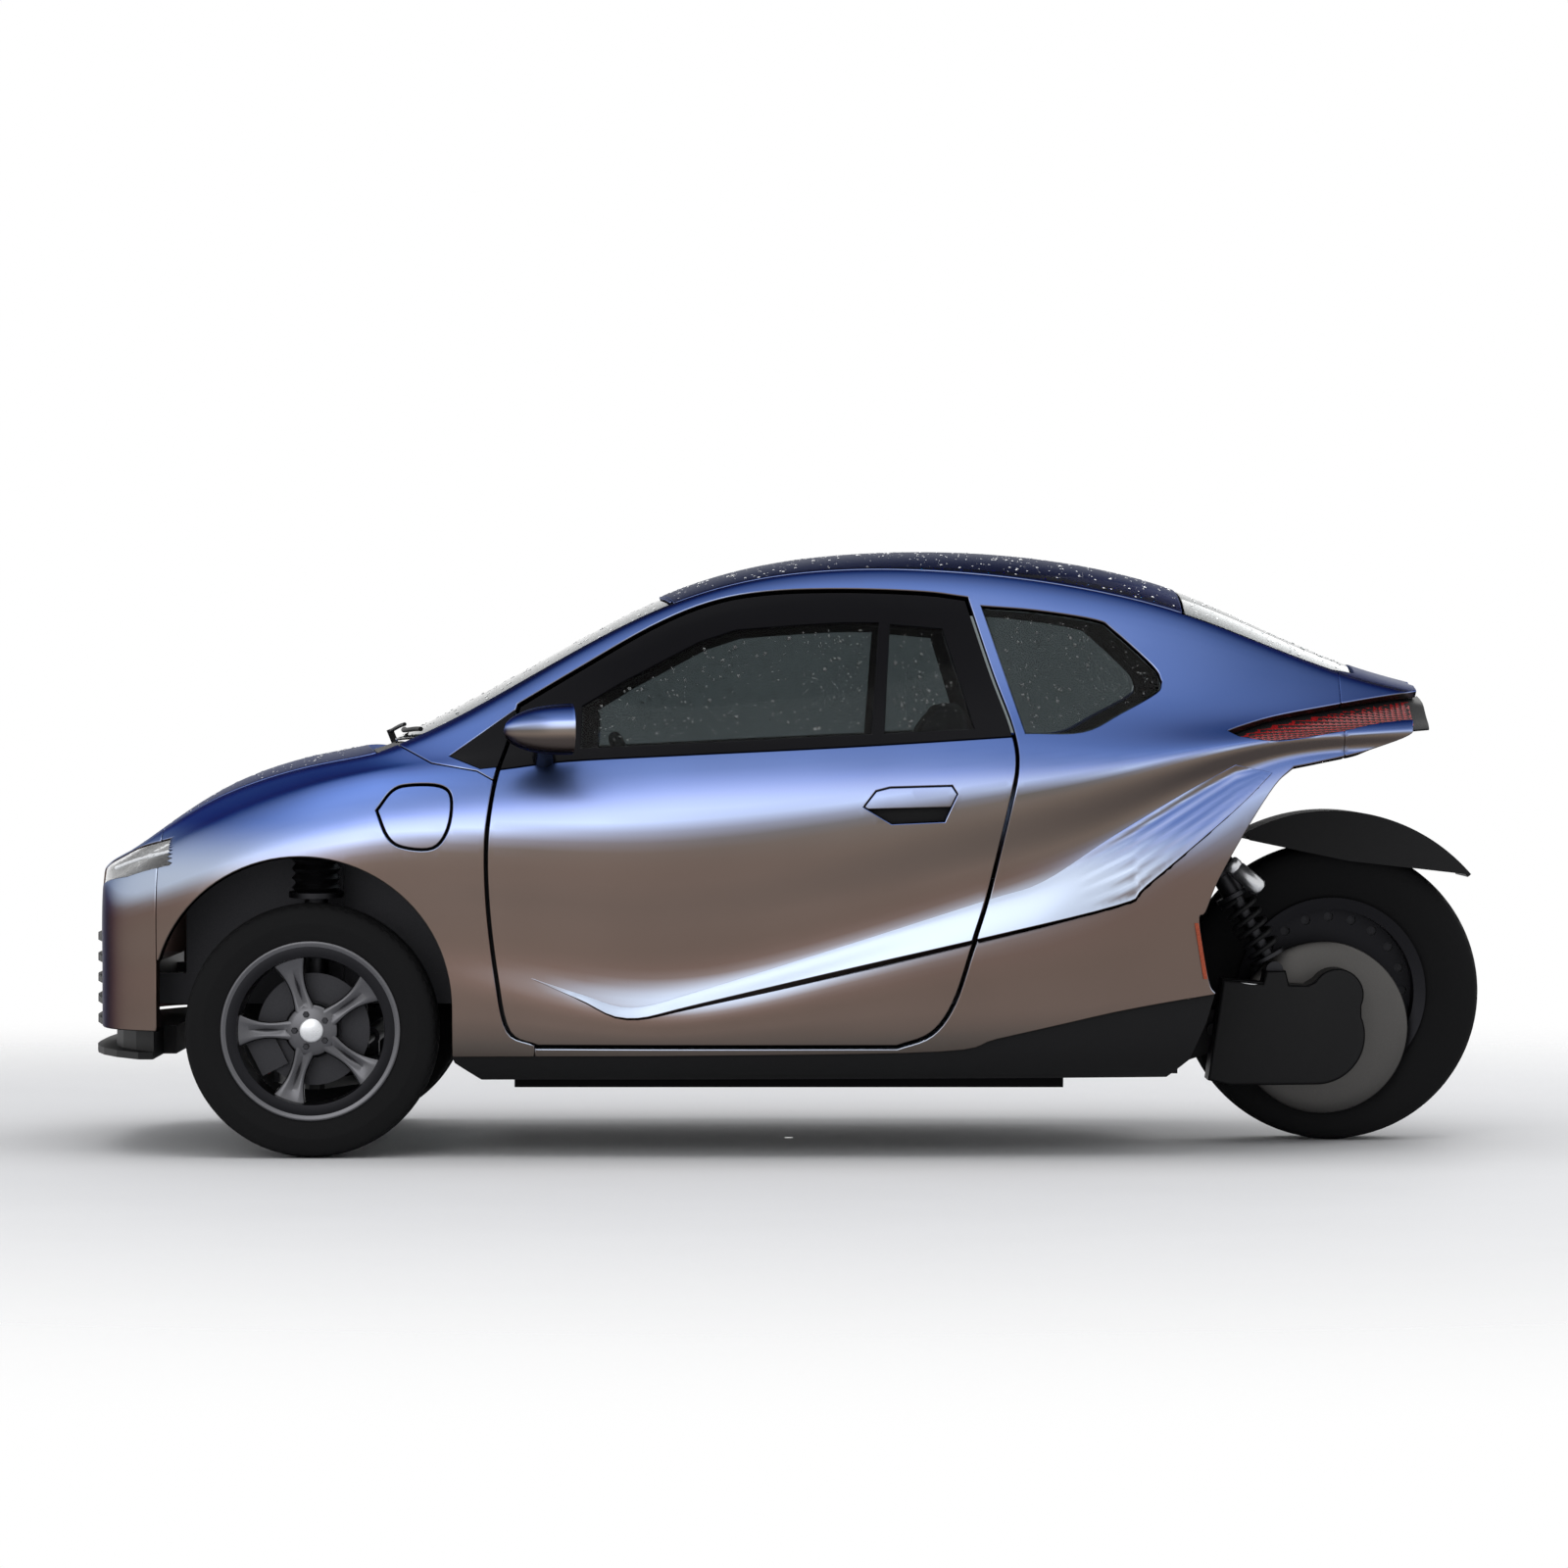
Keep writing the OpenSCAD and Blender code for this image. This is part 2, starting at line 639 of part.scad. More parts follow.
// Lower front opening with its slats, bowed in plan
GRILLE_W = 408;
GRILLE_FRONT = -1610.5;
GRILLE_BACK = -1528;
GRILLE_TOP = 486;
GRILLE_BOW = 60;
SLATS = 4;
SLAT_T = 14;
TOW_Y = 270;
TOW_Z = 384;
TOW_R = 8;
TOW_DEEP = 40;
TOW_X = -1600;
module grille_2d() {
    front = [for (k = [-4:4]) [GRILLE_FRONT + GRILLE_BOW * pow(k / 4, 2), GRILLE_W * k / 4]];
    polygon(concat(front, [[GRILLE_BACK, GRILLE_W], [GRILLE_BACK, -GRILLE_W]]));
}
module grille() {
    step = (GRILLE_TOP - BUMPER_Z - SLAT_T) / SLATS;
    slot_w = GRILLE_W - 16;
    slot = [for (k = [-4:4]) [GRILLE_FRONT + 46 + GRILLE_BOW * pow(k / 4, 2), slot_w * k / 4]];
    color(black) difference() {
        union() {
            difference() {
                upright(BUMPER_Z, GRILLE_TOP) grille_2d();
                for (k = [0:SLATS - 1]) upright(BUMPER_Z + k * step + SLAT_T, BUMPER_Z + (k + 1) * step)
                    polygon(concat(slot, [[-2000, slot_w], [-2000, -slot_w]]));
            }
            translate([TOW_X, TOW_Y, TOW_Z]) rotate([0, 90, 0]) cylinder(r = 18, h = GRILLE_BACK - 5 - TOW_X);
        }
        translate([TOW_X, TOW_Y, TOW_Z]) rotate([0, 90, 0]) cylinder(r = TOW_R, h = 2 * TOW_DEEP,
            center = true);
    }
}

SPLITTER_LOW = 217;
SPLITTER_FRONT = -1602;
SPLITTER_BACK = -1400;
SPLITTER_W = 600;
module splitter_2d(deep) {
    front = [for (k = [-6:6]) [SPLITTER_FRONT + deep + 140 * pow(abs(k) / 6, 3), SPLITTER_W * k / 6]];
    polygon(concat(front, [[SPLITTER_BACK, SPLITTER_W], [SPLITTER_BACK, -SPLITTER_W]]));
}
module splitter() {
    color(black) difference() {
        union() {
            upright(SPLITTER_LOW, SPLITTER_LOW + 16) splitter_2d(0);
            upright(SPLITTER_LOW + 10, BUMPER_Z - seam) splitter_2d(44);
        }
        both() translate([ARCH_X - ARCH_R - 1, 360, 0]) cube([200, 400, 400]);
    }
}

LINER_IN = 572;
module wheel_liners() {
    color(black) mesh() intersection() {
        both() across(LINER_IN, 900) intersection() {
            difference() {
                arch_2d(10);
                arch_2d(2);
            }
            translate([-3000, 290]) square([6000, 900]);
        }
        skin(wall + rest_gap, 1);
    }
}

// One wiper, parked along the screen's lower edge
WIPER = [-930, 40];
SPINDLE_R = 8;
module wiper() {
    color(black) mesh() union() {
        intersection() {
            shell(-22, -8, 2);
            upright() polygon([[-900, -40], [-885, -300], [-835, -480], [-826, -476], [-876, -296], [-891,
                -40]]);
        }
        intersection() {
            shell(-30, -14, 2);
            upright() polygon([WIPER + [-7, 7], WIPER + [7, 7], [-872, -250], [-883, -250]]);
        }
        intersection() {
            shell(-30, SCUTTLE_IN - rest_gap, 2);
            upright() translate(WIPER) circle(SPINDLE_R, $fn = 20);
        }
    }
}

// Two lobes of a mirror: y, z, radius of the rear face
LOBES = [[764, 955, 48], [856, 962, 55]];
MIRROR_X = -480;
module mirror_face(inset, x0, x1) {
    hull() for (lobe = LOBES) translate([x0, lobe[0], lobe[1]]) rotate([0, 90, 0])
        cylinder(r = lobe[2] - inset, h = x1 - x0, $fn = 16);
}
module door_mirror(side) {
    color(paint) mesh() difference() {
        mirror([0, side < 0 ? 1 : 0, 0]) difference() {
            union() {
                hull() {
                    mirror_face(0, MIRROR_X - 6, MIRROR_X);
                    translate([-590, 770, 955]) sphere(34, $fn = 12);
                    translate([-566, 850, 962]) sphere(44, $fn = 12);
                }
                hull() {
                    translate([-560, 760, 926]) cube([50, 10, 22]);
                    translate([-590, 600, 905]) cube([90, 10, 30]);
                }
            }
            mirror_face(8, MIRROR_X - 6, MIRROR_X + 10);
        }
        skin(1.5, 2);
    }
}

// Hinge of the charging flap, on the left: the pin lies along the flap's lower front edge, just under the skin
FLAP_PIN = [-866, -705.7, 738.9];
FLAP_LINE = [0.577, -0.17, -0.799];
FLAP_OUT = [0, -0.98, 0.2];
FLAP_PIN_R = 2;
FLAP_T = 3;
module flap_2d(grow = 0) { offset(delta = grow) polygon(smooth(FLAP)); }
// Frame at the pin: x into the flap, y outwards, z along the pin
module at_flap_pin() {
    z = FLAP_LINE / norm(FLAP_LINE);
    c = cross(FLAP_OUT, z);
    x = c / norm(c);
    y = cross(z, x);
    multmatrix([for (i = [0:2]) [x[i], y[i], z[i], FLAP_PIN[i]]]) children();
}
module charge_flap() {
    color(paint) union() {
        mesh() difference() {
            union() {
                intersection() {
                    shell(0, FLAP_T, 2);
                    across(-1000, 0) flap_2d();
                }
                intersection() {
                    shell(FLAP_T / 2, 24, 2);
                    at_flap_pin() for (dz = [-24, 12]) translate([-5, -5, dz]) cube([10, 20, 12]);
                }
            }
            at_flap_pin() cylinder(r = FLAP_PIN_R + rest_gap, h = 100, center = true, $fn = 16);
        }
        at_flap_pin() cylinder(r = FLAP_PIN_R, h = 47, center = true);
    }
}

INLET = [-826, 765];
INLET_R = 22;
INLET_OUT = -686;
module inlet_arm(grow) {
    at_flap_pin() translate([2 - grow, -62, -7 - grow]) cube([8 + 2 * grow, 62 + grow, 14 + 2 * grow]);
}
module charge_inlet() {
    color(black) union() {
        mesh() difference() {
            intersection() {
                shell(wall + rest_gap, wall + 12, 1, 1);
                across(-1000, 0) flap_2d(12);
            }
            translate([INLET[0], 0, INLET[1]]) rotate([90, 0, 0]) cylinder(r = 32 + rest_gap, h = 1000,
                $fn = 32);
            inlet_arm(rest_gap);
        }
        translate([INLET[0], INLET_OUT, INLET[1]]) rotate([-90, 0, 0]) difference() {
            cylinder(r = 32, h = 66);
            cylinder(r = INLET_R, h = 2 * 50, center = true);
        }
        difference() {
            union() {
                inlet_arm(0);
                at_flap_pin() cylinder(r = 3.4, h = 14, center = true);
            }
            at_flap_pin() cylinder(r = FLAP_PIN_R + fit, h = 100, center = true);
        }
    }
}

FLOOR_TOP = 282;
FLOOR_T = 18;
FLOOR_LOW = FLOOR_TOP - FLOOR_T;
BATTERY_LOW = 150;
BATTERY_X = 620;
FIREWALL_X = -736;
FIREWALL_T = 10;
CABIN_REAR = 860;
module floor_pan() {
    color(black) mesh() intersection() {
        skin(wall + 6, 1);
        translate([FIREWALL_X, -800, FLOOR_LOW]) cube([CABIN_REAR - FIREWALL_X, 1600, FLOOR_T]);
    }
}
module battery() {
    color(steel) translate([-BATTERY_X, -battery_w / 2, BATTERY_LOW])
        cube([2 * BATTERY_X, battery_w, FLOOR_LOW - BATTERY_LOW]);
}

// Rear wall of the cabin and floor of the boot, just inside the painted edge
BULK_OUT = [[900, 380], [880, 530], [930, 640], [1060, 850], [1120, 900], [1370, 958]];
BULK_IN = [[1370, 972], [1110, 916], [1046, 860], [914, 646], [864, 532], [884, 380]];
module bulkhead() {
    foot = [[CABIN_REAR + rest_gap, 300], [CABIN_REAR + rest_gap, FLOOR_LOW]];
    color(black) mesh() intersection() {
        skin(wall + rest_gap, 1);
        across() polygon(concat(BULK_OUT, BULK_IN, foot));
    }
}

DASH_W = 560;
DASH_X = FIREWALL_X + FIREWALL_T + rest_gap;
COLUMN = [-330, -300, 790];
COLUMN_TILT = 65;
COLUMN_R = 12;
module dashboard() {
    color(black) union() {
        across(-DASH_W, DASH_W) polygon([[DASH_X, 560], [DASH_X, 800], [-640, 880], [-560, 878], [-480, 820],
            [-470, 740], [-560, 690], [-590, 560]]);
        translate(COLUMN) rotate([0, COLUMN_TILT, 0]) {
            translate([0, 0, -260]) cylinder(r = 26, h = 220);
            translate([0, 0, -60]) cylinder(r = COLUMN_R, h = 40);
        }
    }
}
module steering_wheel() {
    color(black) translate(COLUMN) rotate([0, COLUMN_TILT, 0]) difference() {
        union() {
            rotate_extrude() translate([wheel_r - 15, 0]) circle(15);
            translate([0, 0, -34]) cylinder(r = 46, h = 44);
            for (a = [60, 180, 300]) rotate([0, 0, a]) translate([0, -14, -12]) cube([wheel_r - 14, 28, 14]);
        }
        translate([0, 0, -35]) cylinder(r = COLUMN_R + fit, h = 20);
    }
}

SEAT_IN = 70;
SEAT_OUT = 530;
SEAT_SIDE = [[-230, FLOOR_TOP + rest_gap], [-250, 430], [-190, 470], [150, 430], [300, 850], [330, 1050],
    [430, 1060], [440, 900], [370, 560], [300, 400], [260, FLOOR_TOP + rest_gap]];
module seat() {
    color("darkslategray") across(SEAT_IN, SEAT_OUT) polygon(SEAT_SIDE);
}

KING_LOW_Z = 190;
KING_TILT = atan((kingpin_low_y - kingpin_top_y) / (tower_z - KING_LOW_Z));
KING_R = 12;
BALL_R = 9;
function kingpin_y(z) = kingpin_low_y - (z - KING_LOW_Z) * tan(KING_TILT);
// Along the right kingpin, from height z
module on_kingpin(z) { translate([front_x, kingpin_y(z), z]) rotate([KING_TILT, 0, 0]) children(); }
RACK_Z = 250;
RACK_X = front_x + steer_arm;
RACK_HOUSING = 240;
RAIL_Y = 300;
RAIL_W = 50;
RAIL_OUT = RAIL_Y + RAIL_W / 2;
CROSS_LOW = 150;
TOWER_T = 20;
POST_IN = 632;
POST_W = 57;
FRAME_LOW = FLOOR_TOP + rest_gap;
module front_frame() {
    color(steel) difference() {
        union() {
            translate([FIREWALL_X, 0, 0]) rotate([90, 0, 90]) linear_extrude(FIREWALL_T)
                polygon([[-POST_IN, FRAME_LOW], [-POST_IN, 740], [-560, 850], [560, 850], [POST_IN, 740],
                    [POST_IN, FRAME_LOW]]);
            both() {
                translate([-1500, RAIL_Y - RAIL_W / 2, 330]) cube([1500 + FIREWALL_X + 5, RAIL_W, 70]);
                translate([front_x - 60, RAIL_Y - RAIL_W / 2, CROSS_LOW]) cube([120, RAIL_W, 200]);
                across(RAIL_OUT - 9, RAIL_OUT - 1) polygon([[-1380, 390], [-1380, 640], [-1250, 740],
                    [FIREWALL_X + 5, 740], [FIREWALL_X + 5, 390]]);
                translate([front_x - 50, RAIL_OUT - 10, 340]) cube([100, 20, tower_z - 330]);
                translate([front_x - 50, RAIL_OUT - 10, tower_z - 8])
                    cube([100, kingpin_top_y + 40 - RAIL_OUT, TOWER_T]);
                translate([FIREWALL_X + 5, POST_IN - POST_W, FRAME_LOW])
                    cube([DOOR_PIN[0] + 40 - FIREWALL_X, 14, 740 - FRAME_LOW]);
                translate([DOOR_PIN[0] - 30, POST_IN - POST_W, FRAME_LOW]) cube([60, POST_W, 740 - FRAME_LOW]);
                for (dz = [-22, 22]) translate(DOOR_PIN + [0, 0, dz]) {
                    translate([-6, POST_IN - 5 - DOOR_PIN[1], -14]) cube([12, DOOR_PIN[1] + 5 - POST_IN, 28]);
                    cylinder(r = hinge_r + 2.2, h = 28, center = true);
                }
                across(HOOD_PIN[1] - 8, HOOD_PIN[1] + 8) polygon([[FIREWALL_X + 5, 760], [FIREWALL_X + 5, 830],
                    [HOOD_PIN[0] + 30, 846], HOOD_AXIS + [9, 4], HOOD_AXIS - [9, 0], [HOOD_PIN[0] - 9, 836],
                    [HOOD_PIN[0] + 40, 800]]);
                translate(HOOD_PIN) rotate([90, 0, 0]) cylinder(r = 10, h = 16, center = true);
            }
            translate([-1500, -440, 340]) cube([40, 880, 80]);
            translate([front_x - 110, -RAIL_OUT, CROSS_LOW]) cube([steer_arm + 150, 2 * RAIL_OUT, 56]);
            translate([RACK_X, 0, RACK_Z]) rotate([90, 0, 0]) cylinder(r = rack_r + 9,
                h = 2 * RACK_HOUSING, center = true);
            for (y = [-180, 180]) translate([RACK_X - 16, y - 20, 200]) cube([32, 40, RACK_Z - 200]);
        }
        both() {
            on_kingpin(tower_z) cylinder(r = KING_R + fit, h = 80, center = true);
            translate(DOOR_PIN) cylinder(r = hinge_r + fit, h = 200, center = true);
            translate(HOOD_PIN) rotate([90, 0, 0]) cylinder(r = LID_PIN_R + fit, h = 100, center = true);
        }
        translate([RACK_X, 0, RACK_Z]) rotate([90, 0, 0]) cylinder(r = rack_r + fit, h = 1000, center = true);
    }
}

ARM_LOW = 148;
ARM_T = 22;
module control_arms() {
    near = RAIL_OUT + rest_gap;
    far = kingpin_low_y + 14;
    color(black) both() {
        upright(ARM_LOW, ARM_LOW + ARM_T) polygon([[front_x - 12, far], [front_x + 12, far], [front_x + 22,
            far - 14],
            [front_x + 100, near], [front_x + 40, near], [front_x, near + 115], [front_x - 40, near],
            [front_x - 100, near], [front_x - 22, far - 14]]);
        on_kingpin(ARM_LOW + 12) cylinder(r = BALL_R, h = 48);
    }
}

TIE_Y = kingpin_low_y - 22;
STEER_ARM_Z = 268;
module steering_rack() {
    low = RACK_Z - 14;
    color(steel) union() {
        translate([RACK_X, 0, RACK_Z]) rotate([90, 0, 0]) cylinder(r = rack_r, h = 2 * TIE_Y, center = true);
        for (s = [-1, 1]) translate([RACK_X, s * TIE_Y, low]) cylinder(r = 15, h = STEER_ARM_Z - 6 - low);
    }
}

HUB_IN = wheel_y - 25;
DISC_T = 12;
STRUT_LOW = [front_x, 484, 330];
STRUT_TILT = atan((kingpin_top_y - 484) / (tower_z - 330));
CALIPER_TURN = 153;
module bellows(r, n, h) {
    wave = [for (k = [0:2 * n]) [k % 2 == 0 ? r - 10 : r, h * k / (2 * n)]];
    rotate_extrude() polygon(concat([[0, 0]], wave, [[0, h]]));
}
module caliper() {
    inner = HUB_IN - DISC_T - 5.5;
    translate([front_x, 0, front_r]) rotate([0, CALIPER_TURN, 0]) difference() {
        translate([84, inner - 15, -42]) cube([64, 2 * 15 + 11 + DISC_T, 84]);
        translate([0, inner, -60]) cube([front_disc_r + 6, 11 + DISC_T, 120]);
    }
    translate([front_x - 95, inner - 15, front_r - 65]) cube([90, 15, 40]);
}
module knuckle() {
    strut_len = tower_z - 330 - 30;
    color(steel) difference() {
        union() {
            translate([front_x - 30, 484, 300]) cube([60, kingpin_low_y + 8 - 484, 80]);
            translate([front_x - 26, kingpin_low_y - 22, KING_LOW_Z - 13]) cube([52, 34, 150]);
            translate([front_x, 530, front_r]) rotate([-90, 0, 0]) cylinder(r = stub_r, h = HUB_IN + 56 - 530);
            translate([front_x, 530, front_r]) rotate([-90, 0, 0]) cylinder(r = 34, h = HUB_IN - 14 - 530);
            on_kingpin(KING_LOW_Z - 12) cylinder(r = 22, h = 44);
            translate([front_x, TIE_Y - 16, STEER_ARM_Z]) cube([steer_arm + 14, 32, 16]);
            translate(STRUT_LOW) rotate([-STRUT_TILT, 0, 0]) {
                cylinder(r = damper_r, h = 262);
                translate([0, 0, 250]) cylinder(r = 62, h = 12);
                translate([0, 0, 261]) bellows(56, 6, 130);
                cylinder(r = 11, h = strut_len);
            }
            on_kingpin(tower_z - 60) cylinder(r = 24, h = 44);
            on_kingpin(tower_z - 60) cylinder(r = KING_R, h = 78);
            caliper();
        }
        on_kingpin(ARM_LOW) cylinder(r = BALL_R + fit, h = 66);
    }
}

// Tyre on its rim, axis along Y, centred at the origin
module tyre_ring(r, w, seat) {
    flange = seat + 18;
    half = [[seat + rest_gap, 0.395 * w], [flange, 0.43 * w], [(flange + r) / 2, w / 2], [r - 30, 0.485 * w],
        [r - 10, 0.42 * w], [r, 0.24 * w]];
    other = [for (i = [len(half) - 1:-1:0]) [half[i][0], -half[i][1]]];
    rotate([90, 0, 0]) rotate_extrude($fn = 72) polygon(concat(half, other));
}
module tyre_front() {
    color("#222222") translate([front_x, wheel_y, front_r]) tyre_ring(front_r, front_tyre_w, front_seat_r);
}
module rim_barrel(seat, w, lip) {
    half = [[seat - 12, 0.43 * w], [seat + lip, 0.46 * w], [seat + lip, 0.435 * w], [seat, 0.4 * w]];
    other = [for (i = [len(half) - 1:-1:0]) [half[i][0], -half[i][1]]];
    rotate([90, 0, 0]) rotate_extrude($fn = 72) polygon(concat(half, other));
}
module rim_front() {
    reach = front_seat_r - 6;
    color("silver") translate([front_x, wheel_y, front_r]) union() {
        rim_barrel(front_seat_r, front_tyre_w, 16);
        difference() {
            union() {
                translate([0, -25, 0]) rotate([-90, 0, 0]) cylinder(r = 60, h = 66);
                for (k = [0:spokes - 1]) rotate([0, k * 360 / spokes + 54, 0]) translate([0, 41,
                    0]) rotate([90, 0, 0])
                    linear_extrude(26) polygon([[40, -32], [110, -24], [reach, -30], [reach, 30], [110,
                        24], [40, 32]]);
            }
            translate([0, -30, 0]) rotate([-90, 0, 0]) cylinder(r = stub_r + fit, h = 66);
        }
        translate([0, -25 - rest_gap, 0]) rotate([90, 0, 0]) difference() {
            cylinder(r = front_disc_r, h = DISC_T);
            translate([0, 0, -1]) cylinder(r = 40, h = DISC_T + 2);
        }
    }
}

// Swing arm pivots beside the tyre
PIVOT = [985, 262];
PIVOT_R = 16;
CHEEK_IN = 112;
CHEEK_T = 22;
CASE_Y = 140;
CASE_W = 110;
SHOCK_Y = -200;
SHOCK_LOW = [1122, 402];
SHOCK_TOP = [996, 636];
EYE_R = 20;
module rear_frame() {
    color(black) {
        difference() {
            union() {
                translate([BATTERY_X + rest_gap, -330, 170]) cube([270, 660, FLOOR_LOW - rest_gap - 170]);
                both() across(CHEEK_IN, CHEEK_IN + CHEEK_T) polygon([[840, 180], [840, 262], [892, 262],
                    [908, 306],
                    [1000, 306], [1028, 262], [1000, 214], [900, 180]]);
            }
            translate([PIVOT[0], 0, PIVOT[1]]) rotate([90, 0, 0]) cylinder(r = PIVOT_R + fit, h = 400,
                center = true);
        }
        difference() {
            across(SHOCK_Y - BRACKET_HALF, SHOCK_Y + BRACKET_HALF) polygon([[930.6, 640], [974.6, 711],
                [1030, 655], [1020, 622], [980, 622]]);
            translate([SHOCK_TOP[0], SHOCK_Y, SHOCK_TOP[1]]) rotate([90, 0, 0])
                cylinder(r = EYE_R + rest_gap, h = 200, center = true);
            translate([SHOCK_TOP[0] - 40, SHOCK_Y - 40, 600]) cube([80, 80, 36]);
        }
    }
}

module arm_2d() {
    polygon([[PIVOT[0] - 20, 150], [1000, 382], [1214, 366], [1214, 140], [PIVOT[0] + 30, 138]]);
    translate([1214, 253]) circle(113, $fn = 64);
    translate([rear_x, rear_r]) circle(60, $fn = 64);
    polygon([[1150, 340], [1220, 385], [rear_x + 40, rear_r - 44], [rear_x - 40, rear_r - 50]]);
    polygon([[1090, 360], [1100, 402], [1144, 402], [1154, 360]]);
}
module swing_arm() {
    color(black) difference() {
        union() {
            across(-CASE_Y - CASE_W, -CASE_Y) arm_2d();
            across(CASE_Y, CASE_Y + 50) polygon([[PIVOT[0] - 30, 215], [PIVOT[0] - 20, 300], [rear_x - 30,
                rear_r + 40],
                [rear_x + 45, rear_r + 20], [rear_x + 40, rear_r - 36], [PIVOT[0] + 40, 214]]);
            both() translate([PIVOT[0], CHEEK_IN, PIVOT[1]]) rotate([-90, 0, 0]) cylinder(r = PIVOT_R, h = 60);
            translate([rear_x, 0, rear_r]) rotate([90, 0, 0]) cylinder(r = axle_r, h = 2 * CASE_Y + 40,
                center = true);
        }
        translate([SHOCK_LOW[0], SHOCK_Y, SHOCK_LOW[1]]) rotate([90, 0, 0])
            cylinder(r = EYE_R + rest_gap, h = 300, center = true);
    }
}

COVER = [1238, 266];
COVER_R = 200;
module drive_cover() {
    color("silver") across(-CASE_Y + rest_gap, -CASE_Y + 16) difference() {
        union() {
            difference() {
                translate(COVER) circle(COVER_R, $fn = 96);
                translate([1000, 0]) square([600, 120]);
            }
            polygon([[1010, 310], [1006, 396], COVER + [0, 114], COVER - [0, 66]]);
        }
        translate([rear_x, rear_r]) circle(axle_r + 2);
    }
}

SHOCK_LEN = norm(SHOCK_TOP - SHOCK_LOW);
SHOCK_TILT = -atan((SHOCK_LOW[0] - SHOCK_TOP[0]) / (SHOCK_TOP[1] - SHOCK_LOW[1]));
module coil(r, wire, turns, h) {
    n = turns * 10;
    sides = 6;
    points = [for (k = [0:n]) let (a = 360 * turns * k / n) for (j = [0:sides - 1])
        let (reach = r + wire * cos(60 * j)) [reach * cos(a), reach * sin(a), h * k / n + wire * sin(60 * j)]];
    walls = [for (k = [0:n - 1]) for (j = [0:sides - 1])
        let (p = k * sides + j, q = k * sides + (j + 1) % sides) each [[p, q, q + sides], [p, q + sides,
            p + sides]]];
    polyhedron(points, concat([[for (j = [sides - 1:-1:0]) j]], walls,
        [[for (j = [0:sides - 1]) n * sides + j]]));
}
RESERVOIR_TOP = [1013, 651];
RESERVOIR_LOW = [1088, 589];
RESERVOIR_R = 21;
BRACKET_HALF = 30;
// Gas reservoir beside the upper bracket
module reservoir() {
    way = RESERVOIR_LOW - RESERVOIR_TOP;
    out = SHOCK_Y - BRACKET_HALF - rest_gap - RESERVOIR_R;
    translate([RESERVOIR_TOP[0], out, RESERVOIR_TOP[1]]) rotate([0, atan2(way[0], way[1]), 0])
        cylinder(r = RESERVOIR_R, h = norm(way));
}
module rear_shock() {
    seat_z = SHOCK_LEN - 74;
    color("silver") {
        translate([SHOCK_LOW[0], SHOCK_Y, SHOCK_LOW[1]]) rotate([0, SHOCK_TILT, 0]) {
            union() {
                for (z = [0, SHOCK_LEN]) translate([0, 0, z]) rotate([90, 0, 0])
                    cylinder(r = EYE_R, h = 40, center = true);
                cylinder(r = 12, h = SHOCK_LEN);
                translate([0, 0, 30]) cylinder(r = 44, h = 8);
                translate([0, 0, seat_z]) cylinder(r = 44, h = 10);
                translate([0, 0, seat_z]) cylinder(r = 26, h = 56);
            }
            translate([0, 0, 43.5]) coil(36, 6, 5, seat_z - 49);
        }
        reservoir();
    }
}

GUARD_R = rear_r + 76;
GUARD_W = 128;
GUARD_T = 10;
module rear_mudguard() {
    wedge = [[rear_x, rear_r], [rear_x - 260, rear_r + 460], [rear_x - 200, 1200], [rear_x + 900, 1200],
        [rear_x + 480, rear_r + 410]];
    color(black) union() {
        across(-GUARD_W, GUARD_W) intersection() {
            translate([rear_x, rear_r]) difference() {
                circle(GUARD_R, $fn = 96);
                circle(GUARD_R - GUARD_T, $fn = 96);
            }
            polygon(wedge);
        }
        both() across(GUARD_W - GUARD_T, GUARD_W) intersection() {
            translate([rear_x, rear_r]) circle(GUARD_R - 1, $fn = 96);
            polygon([[1070, 700], [1300, 652], [rear_x + 318, 620], [rear_x + 400, 1200], [1070, 1200]]);
        }
        across(-60, 60) polygon([[1062, 722], [1056, 702], [970.2, 704], [984.4, 727]]);
    }
}

module rim_rear() {
    color("silver") translate([rear_x, 0, rear_r]) difference() {
        union() {
            rim_barrel(rear_seat_r, rear_tyre_w, 15);
            translate([0, 10, 0]) rotate([90, 0, 0]) cylinder(r = rear_seat_r - 6, h = 20, $fn = 72);
            translate([0, 70, 0]) rotate([90, 0, 0]) cylinder(r = 60, h = 140);
        }
        rotate([90, 0, 0]) cylinder(r = axle_r + fit, h = 400, center = true);
        for (k = [0:rear_holes - 1]) rotate([0, k * 360 / rear_holes, 0]) translate([172, 0,
            0]) rotate([90, 0, 0])
            cylinder(r = 11, h = 60, center = true, $fn = 24);
    }
}
module tyre_rear() {
    color("#222222") translate([rear_x, 0, rear_r]) tyre_ring(rear_r, rear_tyre_w, rear_seat_r);
}

wing(-1);  // wing_left
wing(1);  // wing_right
body_side(-1);  // body_side_left
body_side(1);  // body_side_right
roof();
nose_panel();
grille();
splitter();
headlamps();
hood();
scuttle();
windscreen();
wiper();
door(-1);  // door_left
door(1);  // door_right
door_frame(-1);  // door_frame_left
door_frame(1);  // door_frame_right
door_glass(-1);  // door_glass_left
door_glass(1);  // door_glass_right
handle(-1);  // handle_left
handle(1);  // handle_right
door_mirror(-1);  // mirror_left
door_mirror(1);  // mirror_right
sail_panels();
quarter_glass();
hatch_frame();
hatch_glass();
tail_deck();
tail_lip();
tail_lamps();
reflectors();
side_skirts();
wheel_liners();
charge_flap();
charge_inlet();
floor_pan();
battery();
bulkhead();
dashboard();
steering_wheel();
left() seat();  // seat_left
seat();  // seat_right
front_frame();
control_arms();
steering_rack();
left() knuckle();  // knuckle_left
knuckle();  // knuckle_right
left() rim_front();  // rim_front_left
rim_front();  // rim_front_right
left() tyre_front();  // tyre_front_left
tyre_front();  // tyre_front_right
rear_frame();
